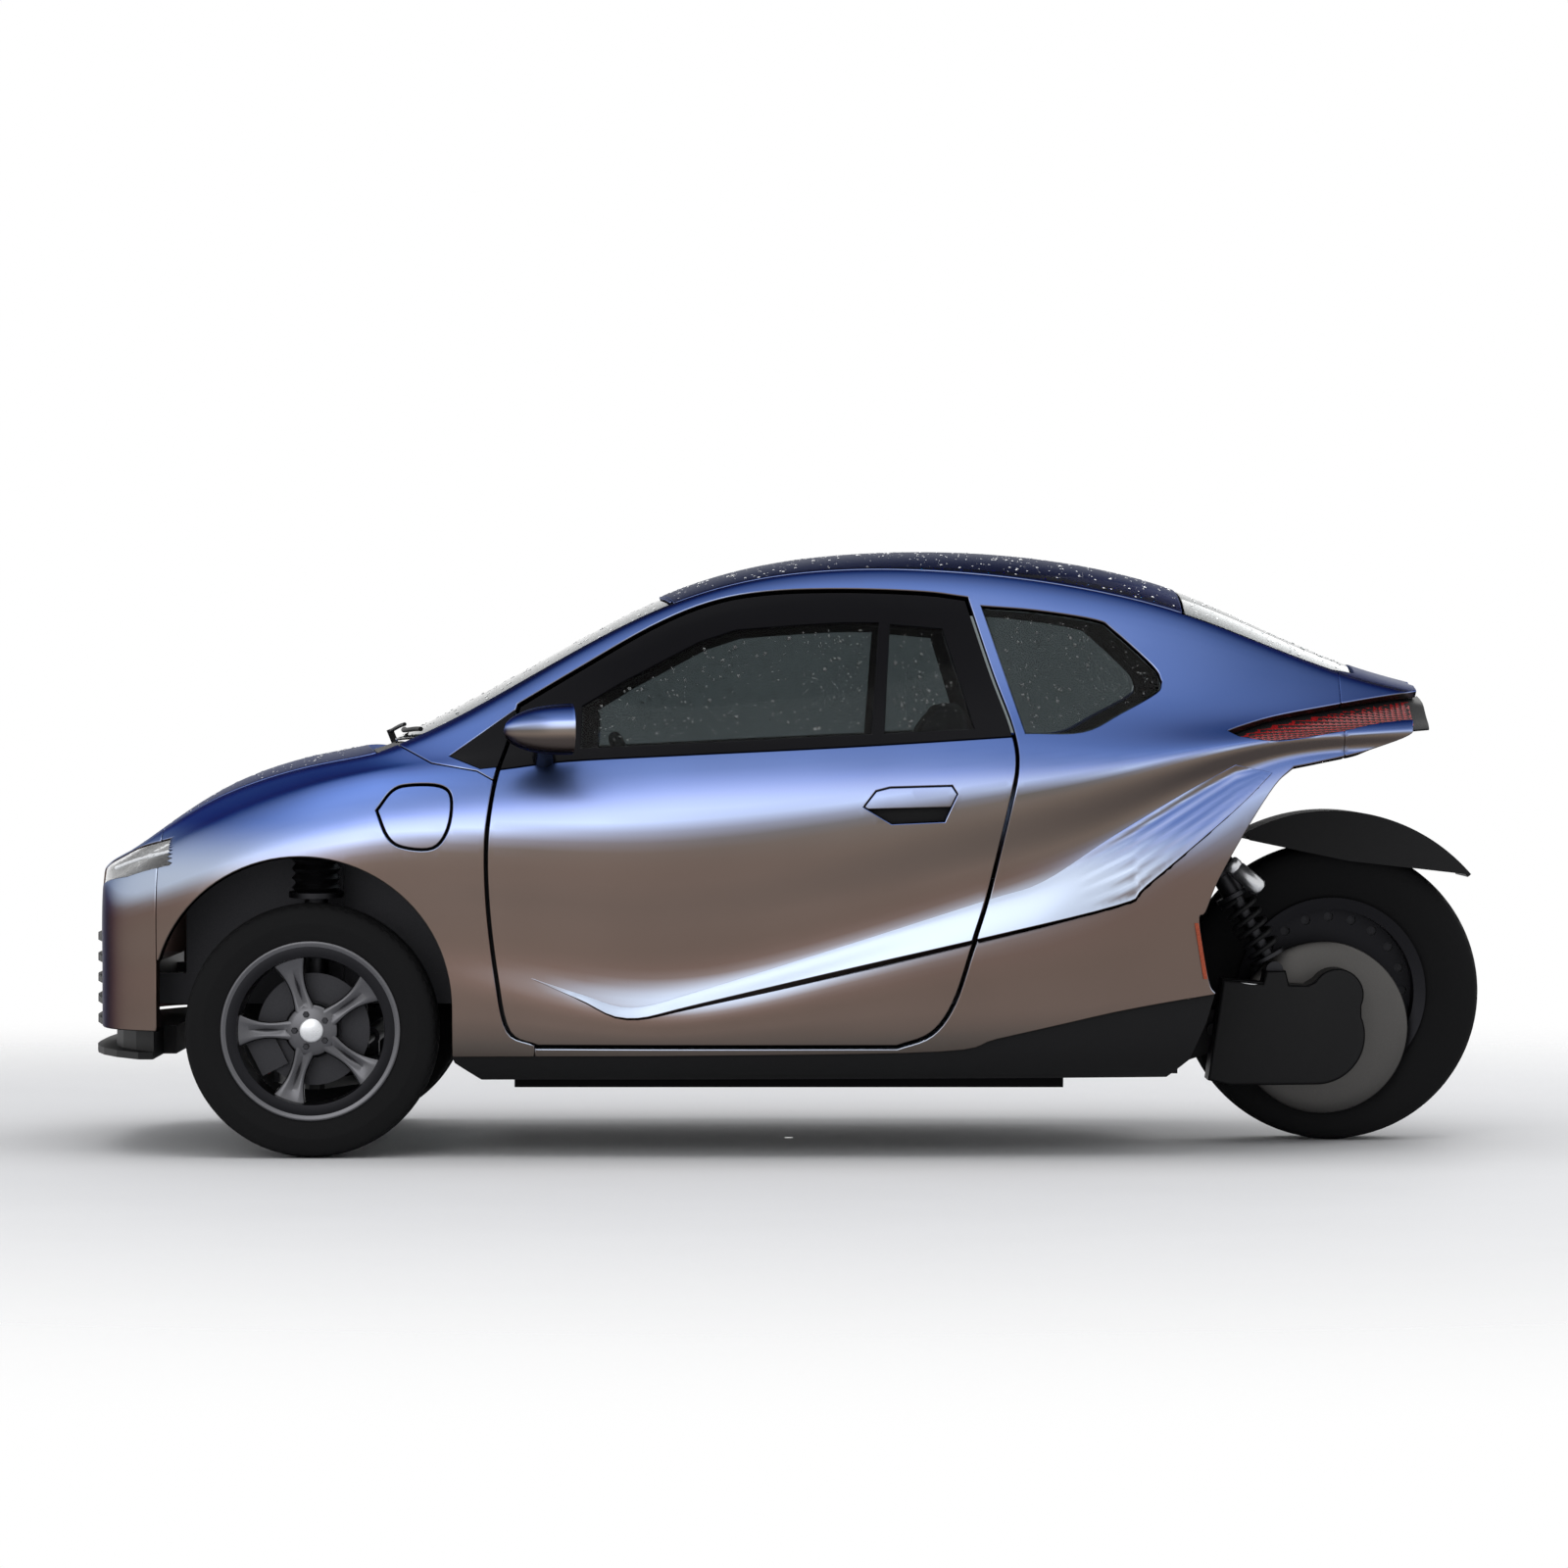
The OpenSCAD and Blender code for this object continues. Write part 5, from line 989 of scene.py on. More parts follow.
@dataclass
class BodyShell:
    """Painted panels and glass that are fixed to the body."""

    body: str = "body"
    depth: float = 16.0

    def build(self) -> None:
        """Wings, sides, roof, nose, tail and the fixed glass."""
        for half, name in HALVES:
            cuts = [HOOD.grown(LID_GAP), SCUTTLE, SCREEN, ARCH,
                    LIGHT] + ([FLAP_CUT.grown(5.2)] if half is Side.LEFT else [])
            mesh(f"wing_skin_{name}", panel([WING, BODY], cuts, half, self.depth), self.body, PAINT, f"wing_{name}")
            cuts = [WING, DOOR.grown(DOOR_GAP), QUARTER.grown(1), SAIL_CUT, LAMP, ROOF, SCREEN, SCUTTLE,
                    HATCH.grown(LID_GAP)]
            mesh(f"side_skin_{name}", panel([REAR_ZONE, BODY], cuts, half, self.depth), self.body, PAINT,
                 f"body_side_{name}")
        mesh("roof_skin", panel([ROOF.grown(-0.5)], [SCREEN, HATCH.grown(LID_GAP)], Side.BOTH, self.depth),
             self.body, PAINT,
             "roof")
        mesh("nose_skin", panel([NOSE, BODY], [HOOD.grown(LID_GAP), LIGHT, INTAKE], Side.BOTH, self.depth),
             self.body, PAINT,
             "nose_panel")
        mesh("tail_skin", panel([TAIL_ZONE, BODY], [HATCH.grown(LID_GAP), LAMP, BELOW_LAMP], Side.BOTH, self.depth),
             self.body,
             PAINT, "tail_deck")
        mesh("tail_lip_skin", panel([TAIL_ZONE, BODY], [LAMP, ABOVE_LAMP], Side.BOTH, self.depth), self.body, PAINT,
             "tail_lip")
        mesh("windscreen_pane", panel([SCREEN.grown(-2)], [], Side.BOTH, GLASS_T, GLASS_IN, 1.5), self.body, GLASS,
             "windscreen")
        mesh("scuttle_panel", panel([SCUTTLE], [], Side.BOTH, 12, 14, 1.5), self.body, BLACK, "scuttle")
        quarters = [panel([QUARTER.grown(-1)], [], half, GLASS_T, GLASS_IN, 1.5) for half, _ in HALVES]
        mesh("quarter_panes", Solid.joined(quarters), self.body, GLASS, "quarter_glass")
        sails = [panel([SAIL_CUT], [DOOR.grown(DOOR_GAP)], half, 14, 2, 1.5) for half, _ in HALVES]
        mesh("sail_covers", Solid.joined(sails), self.body, GLOSS, "sail_panels")
        lamps = panel([LAMP.grown(-1), side([[900, 700], [1418, 700], [1418, 1200], [900, 1200]])], [], Side.BOTH,
                      12, 22, 2)
        mesh("tail_lamp_lens", lamps, self.body, RED, "tail_lamps")
        recess = panel([LAMP.grown(9)], [], Side.BOTH, 4, 22, 1)
        mesh("tail_lamp_recess", recess, self.body, BLACK)
        strips = [panel([side([[905, 527], [914, 527], [935, 401], [926, 401]])], [], half, 3.5, -4, 1) for half,
                  _ in HALVES]
        mesh("reflector_strips", Solid.joined(strips), self.body, ORANGE, "reflectors")
        skirt = side(smooth(SILL_EDGE) - [0, 1], [[938, 300], [900, 210], [850, 164], [-690, 158], [-748, 205]])
        skirts = [panel([skirt], [], half, 12, 14, 2) for half, _ in HALVES]
        mesh("skirts", Solid.joined(skirts), self.body, BLACK, "side_skirts")
        ledges = [panel([LEDGE, BODY], [DOOR.grown(DOOR_GAP)], half, 18, 0, 1.5, 5.0, ledge_rise) for half,
                  _ in HALVES]
        mesh("ledge_rear", Solid.joined(ledges), self.body, PAINT)

    def dress(self) -> None:
        """Finishes of the black pieces that stay as in the CAD."""
        wear(BLACK, "grille", "splitter", "wheel_liners", "charge_inlet")
        wear(CARPET, "floor_pan", "bulkhead")
        wear(CASE, "battery")


@dataclass
class Lid:
    """Bonnet, hatch and charging flap."""

    def build(self) -> None:
        """Skins of the three lids on their own bodies."""
        mesh("hood_skin", panel([HOOD], [], Side.BOTH, 20.0), "hood", PAINT, "hood")
        mesh("hatch_pane", panel([HATCH], [], Side.BOTH, GLASS_T + 2, 2, 2), "hatch", GLASS, "hatch_glass")
        rim = panel([HATCH.grown(-16)], [HATCH.grown(-58)], Side.BOTH, 18, GLASS_IN + GLASS_T + 1, 1.5)
        mesh("hatch_border", rim, "hatch", GLOSS, "hatch_frame")
        mesh("flap_skin", panel([FLAP_CUT.grown(-0.5)], [], Side.LEFT, 3, 0, 1.4), "charge_flap", PAINT,
             "charge_flap")


@dataclass
class Door:
    """One door with its frame, panes, handle and mirror."""

    half: Side
    name: str

    def build(self) -> None:
        """Skin, window frame, panes, handle and mirror, all on the door's body."""
        body, h = f"door_{self.name}", self.half
        inner = panel([DOOR.grown(-1), BELOW_BELT], [HANDLE_CUT, HINGE_NOTCH], h, WALL - 8, 4, 1, 24.0)
        skin = Solid.joined([panel([DOOR, BELOW_BELT], [HANDLE_CUT], h, 4), inner])
        mesh(f"door_skin_{self.name}", skin, body, PAINT, f"door_{self.name}")
        frame_piece = panel([DOOR, ABOVE_BELT], PANES, h, 24, 2, 2)
        mesh(f"window_frame_{self.name}", frame_piece, body, GLOSS, f"door_frame_{self.name}")
        panes = [panel([p.grown(3)], [], h, GLASS_T, GLASS_IN, 1.5) for p in PANES]
        mesh(f"window_panes_{self.name}", Solid.joined(panes), body, GLASS, f"door_glass_{self.name}")
        lip = panel([LEDGE, DOOR.grown(-2)], [], h, 18, 0, 1.5, 5.0, ledge_rise)
        mesh(f"ledge_{self.name}", lip, body, PAINT)
        bar = side([[100, 779], [420, 787], [420, 900], [100, 900]])
        mesh(f"handle_bar_{self.name}", panel([HANDLE_CUT.grown(-1), bar], [], h, 12, 1, 3), body, PAINT,
             f"handle_{self.name}")
        cup = panel([HANDLE_CUT.grown(3)], [], h, 6, 30, 2)
        mesh(f"handle_cup_{self.name}", cup, body, BLACK)
        self.build_mirror(body)

    def build_mirror(self, body: str) -> None:
        """Shell, foot and glass of the mirror.

        The shell's sections are superellipses square to X that swell from a rounded nose to the rear rim.

        Args:
            body: Body they ride on.
        """
        t = np.linspace(0, 1, 28)[:, None]
        a = np.linspace(0, 2 * math.pi, 64, endpoint=False)[None, :]
        swell = np.sqrt(np.clip(1 - (1 - t)**2.4, 0, 1))
        width, height = 98 * swell, 56 * swell
        cy, cz = 822 - 18 * (1 - t), 960 - 4 * (1 - t)
        y = cy + width * np.sign(np.cos(a)) * np.abs(np.cos(a))**0.8
        z = cz + height * np.sign(np.sin(a)) * np.abs(np.sin(a))**0.8 * (1 + 0.08 * np.cos(a))
        x = -632 + 152 * t + 0 * a + 12 * np.cos(a) * t
        shell = np.stack([x, y, z], 2)
        lip = shell[-1] + (np.array([0, 822, 960]) - shell[-1]) * [0, 0.07, 0.09]
        deep = lip - [14, 0, 0]
        grid = np.concatenate([shell, lip[None], deep[None]])
        cap = sheet(grid, round_v=True, capped=True)
        glass = np.stack([deep + [4, 0, 0], np.array([[-486 + 3, 822, 960]]) + 0.02 * (deep - deep.mean(0))])
        foot_path = smooth([[-548, 662, 898], [-545, 712, 912], [-545, 760, 930]])
        foot = tube(foot_path, np.linspace(26, 17, len(foot_path)), 20)
        pieces = [(cap, PAINT, "mirror_shell"), (foot, GLOSS, "mirror_foot"), (sheet(glass, round_v=True,
                                                                                     capped=True), CHROME,
                                                                              "mirror_face")]
        for solid, finish, name in pieces:
            solid = solid if self.half is Side.RIGHT else solid.flipped()
            nodes = [f"mirror_{self.name}"] if name == "mirror_shell" else []
            mesh(f"{name}_{self.name}", solid, body, finish, *nodes)


@dataclass
class Lamps:
    """Headlamps: a clear cover over a dark bowl with lenses and a light bar."""

    def build(self) -> None:
        """Cover, bowl and lenses on both sides."""
        covers = panel([LIGHT.grown(-1)], [HOOD.grown(LID_GAP)], Side.BOTH, 3, 3, 1.5)
        mesh("headlamp_cover", covers, "body", CLEAR, "headlamps")
        bowls = panel([LIGHT.grown(-1)], [HOOD.grown(LID_GAP)], Side.BOTH, 6, 34, 1.5)
        mesh("headlamp_bowl", bowls, "body", GLOSS)
        bars, eyes = [], []
        u, v, _ = LOFT.find(View.FRONT, np.array([[420.0, 652], [500, 672], [580, 694], [635, 704]]), 1)
        p, n = LOFT.normal(u, v)
        path = smooth((p - n * 16).tolist(), 8)
        bars.append(tube(path, 5.0, 12))
        for k in (0.35, 0.75):
            spot = path[int(k * (len(path) - 1))] - [0, 0, 20]
            t = np.linspace(0, math.pi / 2, 10)[:, None]
            a = np.linspace(0, 2 * math.pi, 32, endpoint=False)[None, :]
            dome = np.stack([spot[0] + 6 - 10 * np.cos(t) + 0 * a, spot[1] + 15 * np.sin(t) * np.cos(a),
                             spot[2] + 15 * np.sin(t) * np.sin(a)], 2)
            eyes.append(sheet(dome, round_v=True, capped=True))
        for name, solids, finish in (("headlamp_bars", bars, CHROME), ("headlamp_lenses", eyes, CLEAR)):
            both = solids + [s.flipped() for s in solids]
            mesh(name, Solid.joined(both), "body", finish)


@dataclass
class Wiper:
    """Single wiper parked along the screen."""

    def build(self) -> None:
        """Arm and blade follow the screen at a fixed height."""
        parts = []
        for places, lift, radius in (([[-930, 40], [-904, -90], [-878, -250]], 15.0, 4.5),
                                     ([[-895, -40], [-880, -300], [-832, -478]], 4.0, 5.5)):
            u, v, _ = LOFT.find(View.PLAN, smooth(places, 10), 1)
            p, n = LOFT.normal(u, v)
            parts.append(tube(p + n * lift, radius, 10))
        u, v, _ = LOFT.find(View.PLAN, np.array([[-930.0, 40.0]]), 1)
        p, n = LOFT.normal(u, v)
        parts.append(tube(np.stack([p[0] - 14 * n[0], p[0] + 20 * n[0]]), 8.0, 20))
        mesh("wiper_arm", Solid.joined(parts), "body", BLACK, "wiper")


@dataclass
class Tyre:
    """Tyre with grooves and blocks in its tread.

    Attributes:
        node: CAD node it stands for.
        body: Body it rides on.
        centre: Its centre.
        radius: Outer radius.
        width: Width.
        seat: Radius of the rim's seat.
        blocks: Number of tread blocks round.
    """

    node: str
    body: str
    centre: tuple[float, float, float]
    radius: float
    width: float
    seat: float
    blocks: int = 60

    def build(self) -> None:
        """The profile is swept about Y; in the tread the radius drops in grooves along and across."""
        w, r, s = self.width, self.radius, self.seat
        side_wall = smooth([[s + 1, 0.39 * w], [s + 16, 0.425 * w], [s + 30, 0.455 * w], [(s + r) / 2 + 4, 0.497 * w],
                            [r - 34, 0.49 * w], [r - 16, 0.455 * w], [r - 7, 0.41 * w]], 6)
        ridge = 1.2 * np.exp(-((side_wall[:, 0] - (s + 34)) / 3)**2) + 0.9 * np.exp(-((side_wall[:,
                                                                                                 0] - (r - 44)) / 3)**2)
        side_wall[:, 1] += ridge * 0.5
        y = np.linspace(0.395, -0.395, 49)[:, None] * w
        crown = r - 7 * (np.abs(y) / (0.395 * w))**3
        profile = np.vstack([side_wall, np.hstack([crown, y]), (side_wall * [1, -1])[::-1],
                             [[s + 1, -0.2 * w], [s + 1, 0.2 * w]]])
        steps = 288
        a = np.linspace(0, 2 * math.pi, steps, endpoint=False)[None, :]
        rr, yy = profile[:, 0, None] + 0 * a, profile[:, 1, None] + 0 * a
        share = yy / w
        tread = np.clip((rr - (r - 10)) / 3, 0, 1) * (rr > r - 12)
        along = np.exp(-(((np.abs(share) - 0.12) / 0.02)**4)) + np.exp(-(((np.abs(share) - 0.29) / 0.018)**4))
        across = np.clip(np.cos(self.blocks * a + 60 * np.abs(share)) * 6 - 4.2, 0, 1) * (np.abs(share) > 0.14)
        rr = rr - tread * 5.5 * np.clip(along + 0.8 * across, 0, 1)
        cx, cy, cz = self.centre
        grid = np.stack([cx + rr * np.cos(a), cy + yy, cz + rr * np.sin(a)], 2)
        mesh(f"{self.node}_rubber", sheet(grid, round_u=True, round_v=True), self.body, RUBBER, self.node)


@dataclass
class FrontWheel:
    """Steered wheel: tyre, spoked rim, brake disc and caliper cover."""

    half: Side
    name: str
    spokes: int = 5

    def place(self, r: np.ndarray, a: np.ndarray, s: np.ndarray) -> np.ndarray:
        """Points from radius, angle and place along the axle, outwards positive."""
        return np.stack([FRONT_X + r * np.cos(a), self.half.value * (WHEEL_Y + s), FRONT_R + r * np.sin(a)], -1)

    def build(self) -> None:
        """All pieces of the wheel."""
        body = f"wheel_front_{self.name}"
        y = self.half.value * WHEEL_Y
        Tyre(f"tyre_front_{self.name}", body, (FRONT_X, y, FRONT_R), FRONT_R, 165.0, 178.0).build()
        barrel = np.array([[166, -71], [188, -75], [193, -73], [193, -70], [180, -65], [172, -40], [172, 40], [180,
                                                                                                               65],
                           [193, 70], [193, 73], [188, 75], [166, 71], [163, 40], [163, -40]], float)
        barrel[:, 1] *= self.half.value
        mesh(f"rim_barrel_{self.name}", turned(barrel, (FRONT_X, y, FRONT_R), 120), body, GRAPHITE,
             f"rim_front_{self.name}")
        lip = smooth([[183, 72.5], [192, 75.5], [198, 76.5], [201, 75], [201, 73], [197, 72], [192, 72]], 4)
        lip[:, 1] *= self.half.value
        mesh(f"rim_lip_{self.name}", turned(lip, (FRONT_X, y, FRONT_R), 144), body, SPOKE)
        mesh(f"rim_spokes_{self.name}", Solid.joined([self.spoke(k) for k in range(self.spokes)] + [self.hub()]),
             body, SPOKE)
        nuts = [self.disc(7.5, 43, 49, 38, 2 * math.pi * (k + 0.5) / self.spokes, 6) for k in range(self.spokes)]
        mesh(f"rim_nuts_{self.name}", Solid.joined(nuts), body, STEEL)
        mesh(f"hub_cap_{self.name}", self.disc(27, 40, 50, 0, 0, 48), body, ALLOY)
        ring = np.array([[40, -38], [126, -38], [126, -34], [118, -33.5], [118, -29.5], [126, -29], [126, -26], [40,
                                                                                                                 -26]], float)
        ring[:, 1] *= self.half.value
        mesh(f"brake_disc_{self.name}", turned(ring, (FRONT_X, y, FRONT_R), 96), body, STEEL)
        self.build_caliper()

    def spoke(self, k: int) -> Solid:
        """One spoke: a rounded box section that narrows to its waist and widens at the rim, dished along the radius.

        Args:
            k: Its number.
        Returns:
            The closed spoke.
        """
        t = np.linspace(0, 1, 24)[:, None]
        b = np.linspace(0, 2 * math.pi, 24, endpoint=False)[None, :]
        r = 34 + (173 - 34) * t
        across = np.sign(np.cos(b)) * np.abs(np.cos(b))**0.55
        up = np.sign(np.sin(b)) * np.abs(np.sin(b))**0.55
        wide = 30 - 12 * np.sin(math.pi * np.clip(t * 1.05, 0, 1)) + 10 * t**3
        crest = 40 - 6 * t + 16 * t**4 - 10 * np.exp(-(across / 0.35)**2) * np.sin(math.pi * t)
        s = np.where(up > 0, crest - 12 + 12 * up, crest - 12 + 13 * up)
        a = 2 * math.pi * k / self.spokes + math.radians(36) + wide * across / r
        return sheet(self.place(r + 0 * b, a, s), round_v=True, capped=True)

    def hub(self) -> Solid:
        """Dished hub between the spokes."""
        profile = smooth([[17, -24], [60, -24], [62, 10], [60, 30], [50, 38], [30, 42], [17, 43]], 5)
        profile[:, 1] *= self.half.value
        return turned(profile, (FRONT_X, self.half.value * WHEEL_Y, FRONT_R), 72)

    def disc(self, radius: float, s0: float, s1: float, off: float, angle: float, sides: int) -> Solid:
        """Short cylinder along the axle with a rounded outer rim, off the axle at an angle."""
        b = np.linspace(0, 2 * math.pi, sides, endpoint=False)[None, :]
        rows = np.array([[1, s0], [1, s1 - 3], [0.93, s1 - 1], [0.8, s1]])
        px, pz = off * math.cos(angle), off * math.sin(angle)
        x = FRONT_X + px + radius * rows[:, :1] * np.cos(b)
        z = FRONT_R + pz + radius * rows[:, :1] * np.sin(b)
        y = self.half.value * (WHEEL_Y + rows[:, 1:]) + 0 * b
        return sheet(np.stack([x, y, z], 2), round_v=True, capped=True)

    def build_caliper(self) -> None:
        """Cover over the caliper's outer side: an arc of the disc, domed along and across."""
        t = np.linspace(-0.32, 0.32, 20)[:, None] + math.radians(180 + 27)
        b = np.linspace(0, 2 * math.pi, 20, endpoint=False)[None, :]
        across = np.sign(np.cos(b)) * np.abs(np.cos(b))**0.6
        up = np.sign(np.sin(b)) * np.abs(np.sin(b))**0.6
        r = 118 + 26 * across + 0 * t
        s = -17 + 4 * up + 0 * t
        grid = self.place(r, t + 0 * b, s)
        mesh(f"caliper_cover_{self.name}", sheet(grid, round_v=True, capped=True), f"steer_{self.name}", CALIPER)


@dataclass
class RearEnd:
    """Rear wheel, swing arm, drive cover, shock and mudguard."""

    low: tuple[float, float] = (1122.0, 402.0)
    top: tuple[float, float] = (996.0, 636.0)
    shock_y: float = -200.0

    def build(self) -> None:
        """Tyre, shock and the arm's trims."""
        Tyre("tyre_rear", "wheel_rear", (REAR_X, 0.0, REAR_R), REAR_R, 205.0, 204.0, 66).build()
        self.build_shock()
        self.build_trim()

    def build_shock(self) -> None:
        """Damper with a smooth coil: a helix about the line between the two eyes."""
        a = np.array([self.low[0], self.shock_y, self.low[1]])
        b = np.array([self.top[0], self.shock_y, self.top[1]])
        way = (b - a) / np.linalg.norm(b - a)
        length = float(np.linalg.norm(b - a))
        e1 = np.array([0.0, 1.0, 0.0])
        e2 = np.cross(way, e1)
        turns = np.linspace(0, 2 * math.pi * 5.5, 260)[:, None]
        rise = np.linspace(44, length - 80, 260)[:, None]
        coil = tube(a + way * rise + 36 * (np.cos(turns) * e1 + np.sin(turns) * e2), 6.0, 12)
        mesh("shock_coil", coil, "body", METAL)
        rings = [[0, 30], [44, 30], [44, 38], [16, 38], [16, length - 78], [44, length - 74], [44, length - 64],
                 [27, length - 64],
                 [27, length - 18], [12, length - 16], [12, length], [0, length]]
        r, h = np.array(rings, float).T[:, :, None]
        ang = np.linspace(0, 2 * math.pi, 48, endpoint=False)
        grid = a + way * h[:, :, None] + r[:, :, None] * (np.cos(ang)[None, :, None] * e1 + np.sin(ang)[None, :,
                                                                                                        None] * e2)
        parts = [sheet(grid, round_v=True)]
        for eye in (a, b):
            parts.append(tube(np.stack([eye - 20 * e1, eye + 20 * e1]), 20.0, 40))
        mesh("shock_damper", Solid.joined(parts), "body", STEEL, "rear_shock")
        ends = np.array(RESERVOIR, float)
        share = np.array([0, 0.02, 0.06, 0.2, 0.22, 0.26, 0.28, 0.9, 0.96, 1.0])
        wide = np.array([15, 19, 21, 21, 19.5, 19.5, 21, 21, 19, 15.0])
        mesh("shock_reservoir", tube(ends[0] + share[:, None] * (ends[1] - ends[0]), wide, 40), "body", ALLOY)

    def build_trim(self) -> None:
        """Domed drive cover, rounded cover plate on the arm and a light strip along its upper edge."""
        dome = smooth([[22, 1], [110, 1], [150, 2.5], [180, 6], [196, 11], [200, 15]], 6)
        dome = np.vstack([dome, [[198, 16], [22, 16]]]) + [0, -139.7]
        mesh("drive_dome", turned(dome, (1238.0, 0.0, 266.0), 144), "body", SATIN, "drive_cover")
        boss = np.linspace(math.radians(150), math.radians(-25), 20)
        end = np.linspace(math.radians(22), math.radians(-90), 24)
        loop = np.vstack([ARM_LOOP, np.stack([1264 + 60 * np.cos(boss), 346.5 + 60 * np.sin(boss)], 1),
                          np.stack([1214 + 113 * np.cos(end), 253 + 113 * np.sin(end)], 1), [[1015, 138]]])
        mesh("arm_cover", slab(loop, -258, -250.2, 7.0), "body", METAL)
        backing = np.array([[150, 10.6], [192, 10.6], [192, 13], [150, 13]])
        mesh("rim_backing", turned(backing, (REAR_X, 0.0, REAR_R), 96), "wheel_rear", STEEL)
        path = smooth([[1008, -254, 376], [1060, -255, 371], [1090, -254, 368]], 8)
        mesh("arm_strip", tube(path, 2.5, 8), "body", ALLOY)

    def dress(self) -> None:
        """Finishes of the pieces that stay as in the CAD."""
        wear(METAL, "swing_arm", "rear_frame", "rear_mudguard")
        wear(GRAPHITE, "rim_rear")


@dataclass
class Chassis:
    """Frame, suspension and steering below the body."""

    def dress(self) -> None:
        """Finishes of steel and castings."""
        wear(STEEL, "front_frame", "steering_rack", "knuckle_left", "knuckle_right")
        wear(METAL, "control_arms")


def stuffed(solid: Solid, cap: float, voxel: float = 0.008) -> Solid:
    """Pad swollen by a short cloth simulation under pressure.

    Args:
        solid: Closed pad, a little smaller than the wanted one.
        cap: Longest way that a point may move.
        voxel: Size of the remesh in metres.
    """
    scene = bpy.context.scene
    data = bpy.data.meshes.new("pad_form")
    data.from_pydata((solid.points * MM).tolist(), [], solid.faces)
    work = bpy.data.objects.new("pad_form", data)
    scene.collection.objects.link(work)
    remesh = work.modifiers.new("remesh", "REMESH")
    remesh.mode, remesh.voxel_size = "VOXEL", voxel
    start = bpy.data.meshes.new_from_object(work.evaluated_get(bpy.context.evaluated_depsgraph_get()))
    work.modifiers.clear()
    work.data = start
    cloth = work.modifiers.new("cloth", "CLOTH").settings
    cloth.use_pressure, cloth.uniform_pressure_force = True, 4.0
    cloth.effector_weights.gravity = 0.0
    before, after = np.zeros(len(start.vertices) * 3), np.zeros(len(start.vertices) * 3)
    start.vertices.foreach_get("co", before)
    for step in range(1, 21):
        scene.frame_set(step)
    work.evaluated_get(bpy.context.evaluated_depsgraph_get()).data.vertices.foreach_get("co", after)
    scene.frame_set(1)
    corners = np.zeros(len(start.loops), int)
    start.loops.foreach_get("vertex_index", corners)
    way = (after - before).reshape(-1, 3) / MM
    way *= np.minimum(1, cap / np.maximum(np.linalg.norm(way, axis=1), 1e-9))[:, None]
    bpy.data.objects.remove(work)
    for used in (data, start):
        bpy.data.meshes.remove(used)
    return Solid(before.reshape(-1, 3) / MM + way, corners.reshape(-1, 4).tolist())


@dataclass
class Seat:
    """Padded seat: cushion and backrest as stuffed cloth forms with sewn channels on a plain pan, on both sides."""

    middle: float = 300.0
    half_width: float = 205.0

    def build(self) -> None:
        """Cushion and back are made once and mirrored."""
        base = slab(np.array([[-190, 284], [-215, 375], [240, 350], [255, 284]], float), 90, 510, 8)
        pads = [("cushion", self.pad([-215, 430], [205, 400], 92)), ("back", self.pad([238, 440], [382, 1030], 78))]
        for half, name in ((Side.RIGHT, "right"), (Side.LEFT, "left")):
            for part, solid in pads:
                made = mesh(f"seat_{part}_{name}", solid if half is Side.RIGHT else solid.flipped(), "body", CLOTH,
                            *([f"seat_{name}"] if part == "cushion" else []))
            mesh(f"seat_base_{name}", base if half is Side.RIGHT else base.flipped(), "body", BLACK)

    def pad(self, start: list[float], end: list[float], thick: float) -> Solid:
        """Closed pad along a side-view line, crowned over both ways, stuffed and then sewn.

        Args:
            start: Lower or front end, x and z.
            end: Upper or rear end, x and z.
            thick: Thickness.
        Returns:
            The closed pad.
        """
        a, b = np.array(start, float), np.array(end, float)
        length = float(np.linalg.norm(b - a))
        way = (b - a) / length
        up = np.array([-way[1], way[0]])
        t = np.linspace(0, 1, 40)[:, None]
        w = np.linspace(0, 2 * math.pi, 72, endpoint=False)[None, :]
        end_fall = np.clip(1 - (2 * t - 1)**8, 0, 1)**0.5
        across = np.sign(np.cos(w)) * np.abs(np.cos(w))**0.5
        lift = np.sign(np.sin(w)) * np.abs(np.sin(w))**0.6
        bolster = 26 * np.exp(-((np.abs(across) - 0.82) / 0.16)**2) * (lift > 0)
        h = (thick / 2 * lift + bolster) * end_fall
        half_w = self.half_width * (0.9 + 0.1 * np.sin(math.pi * t)) * (0.2 + 0.8 * end_fall)
        line = a[None, None] + (b - a)[None, None] * t[:, :, None]
        grid = np.stack([line[..., 0] + up[0] * h, self.middle + half_w * across, line[..., 1] + up[1] * h], 2)
        solid = stuffed(sheet(grid, round_v=True, capped=True), 9.0)
        place = solid.points[:, [0, 2]] - a
        t, lift = place @ way / length, place @ up
        across = np.abs(solid.points[:, 1] - self.middle) / self.half_width
        seam = 7 * np.exp(-((across - 0.6) / 0.035)**2)
        rows = 4 * np.exp(-(((t * 6) % 1 - 0.5) / 0.08)**2) * (across < 0.55)
        sunk = (seam + rows) * np.clip(lift / 20, 0, 1)
        return Solid(solid.points - sunk[:, None] * np.array([up[0], 0, up[1]]), solid.faces)


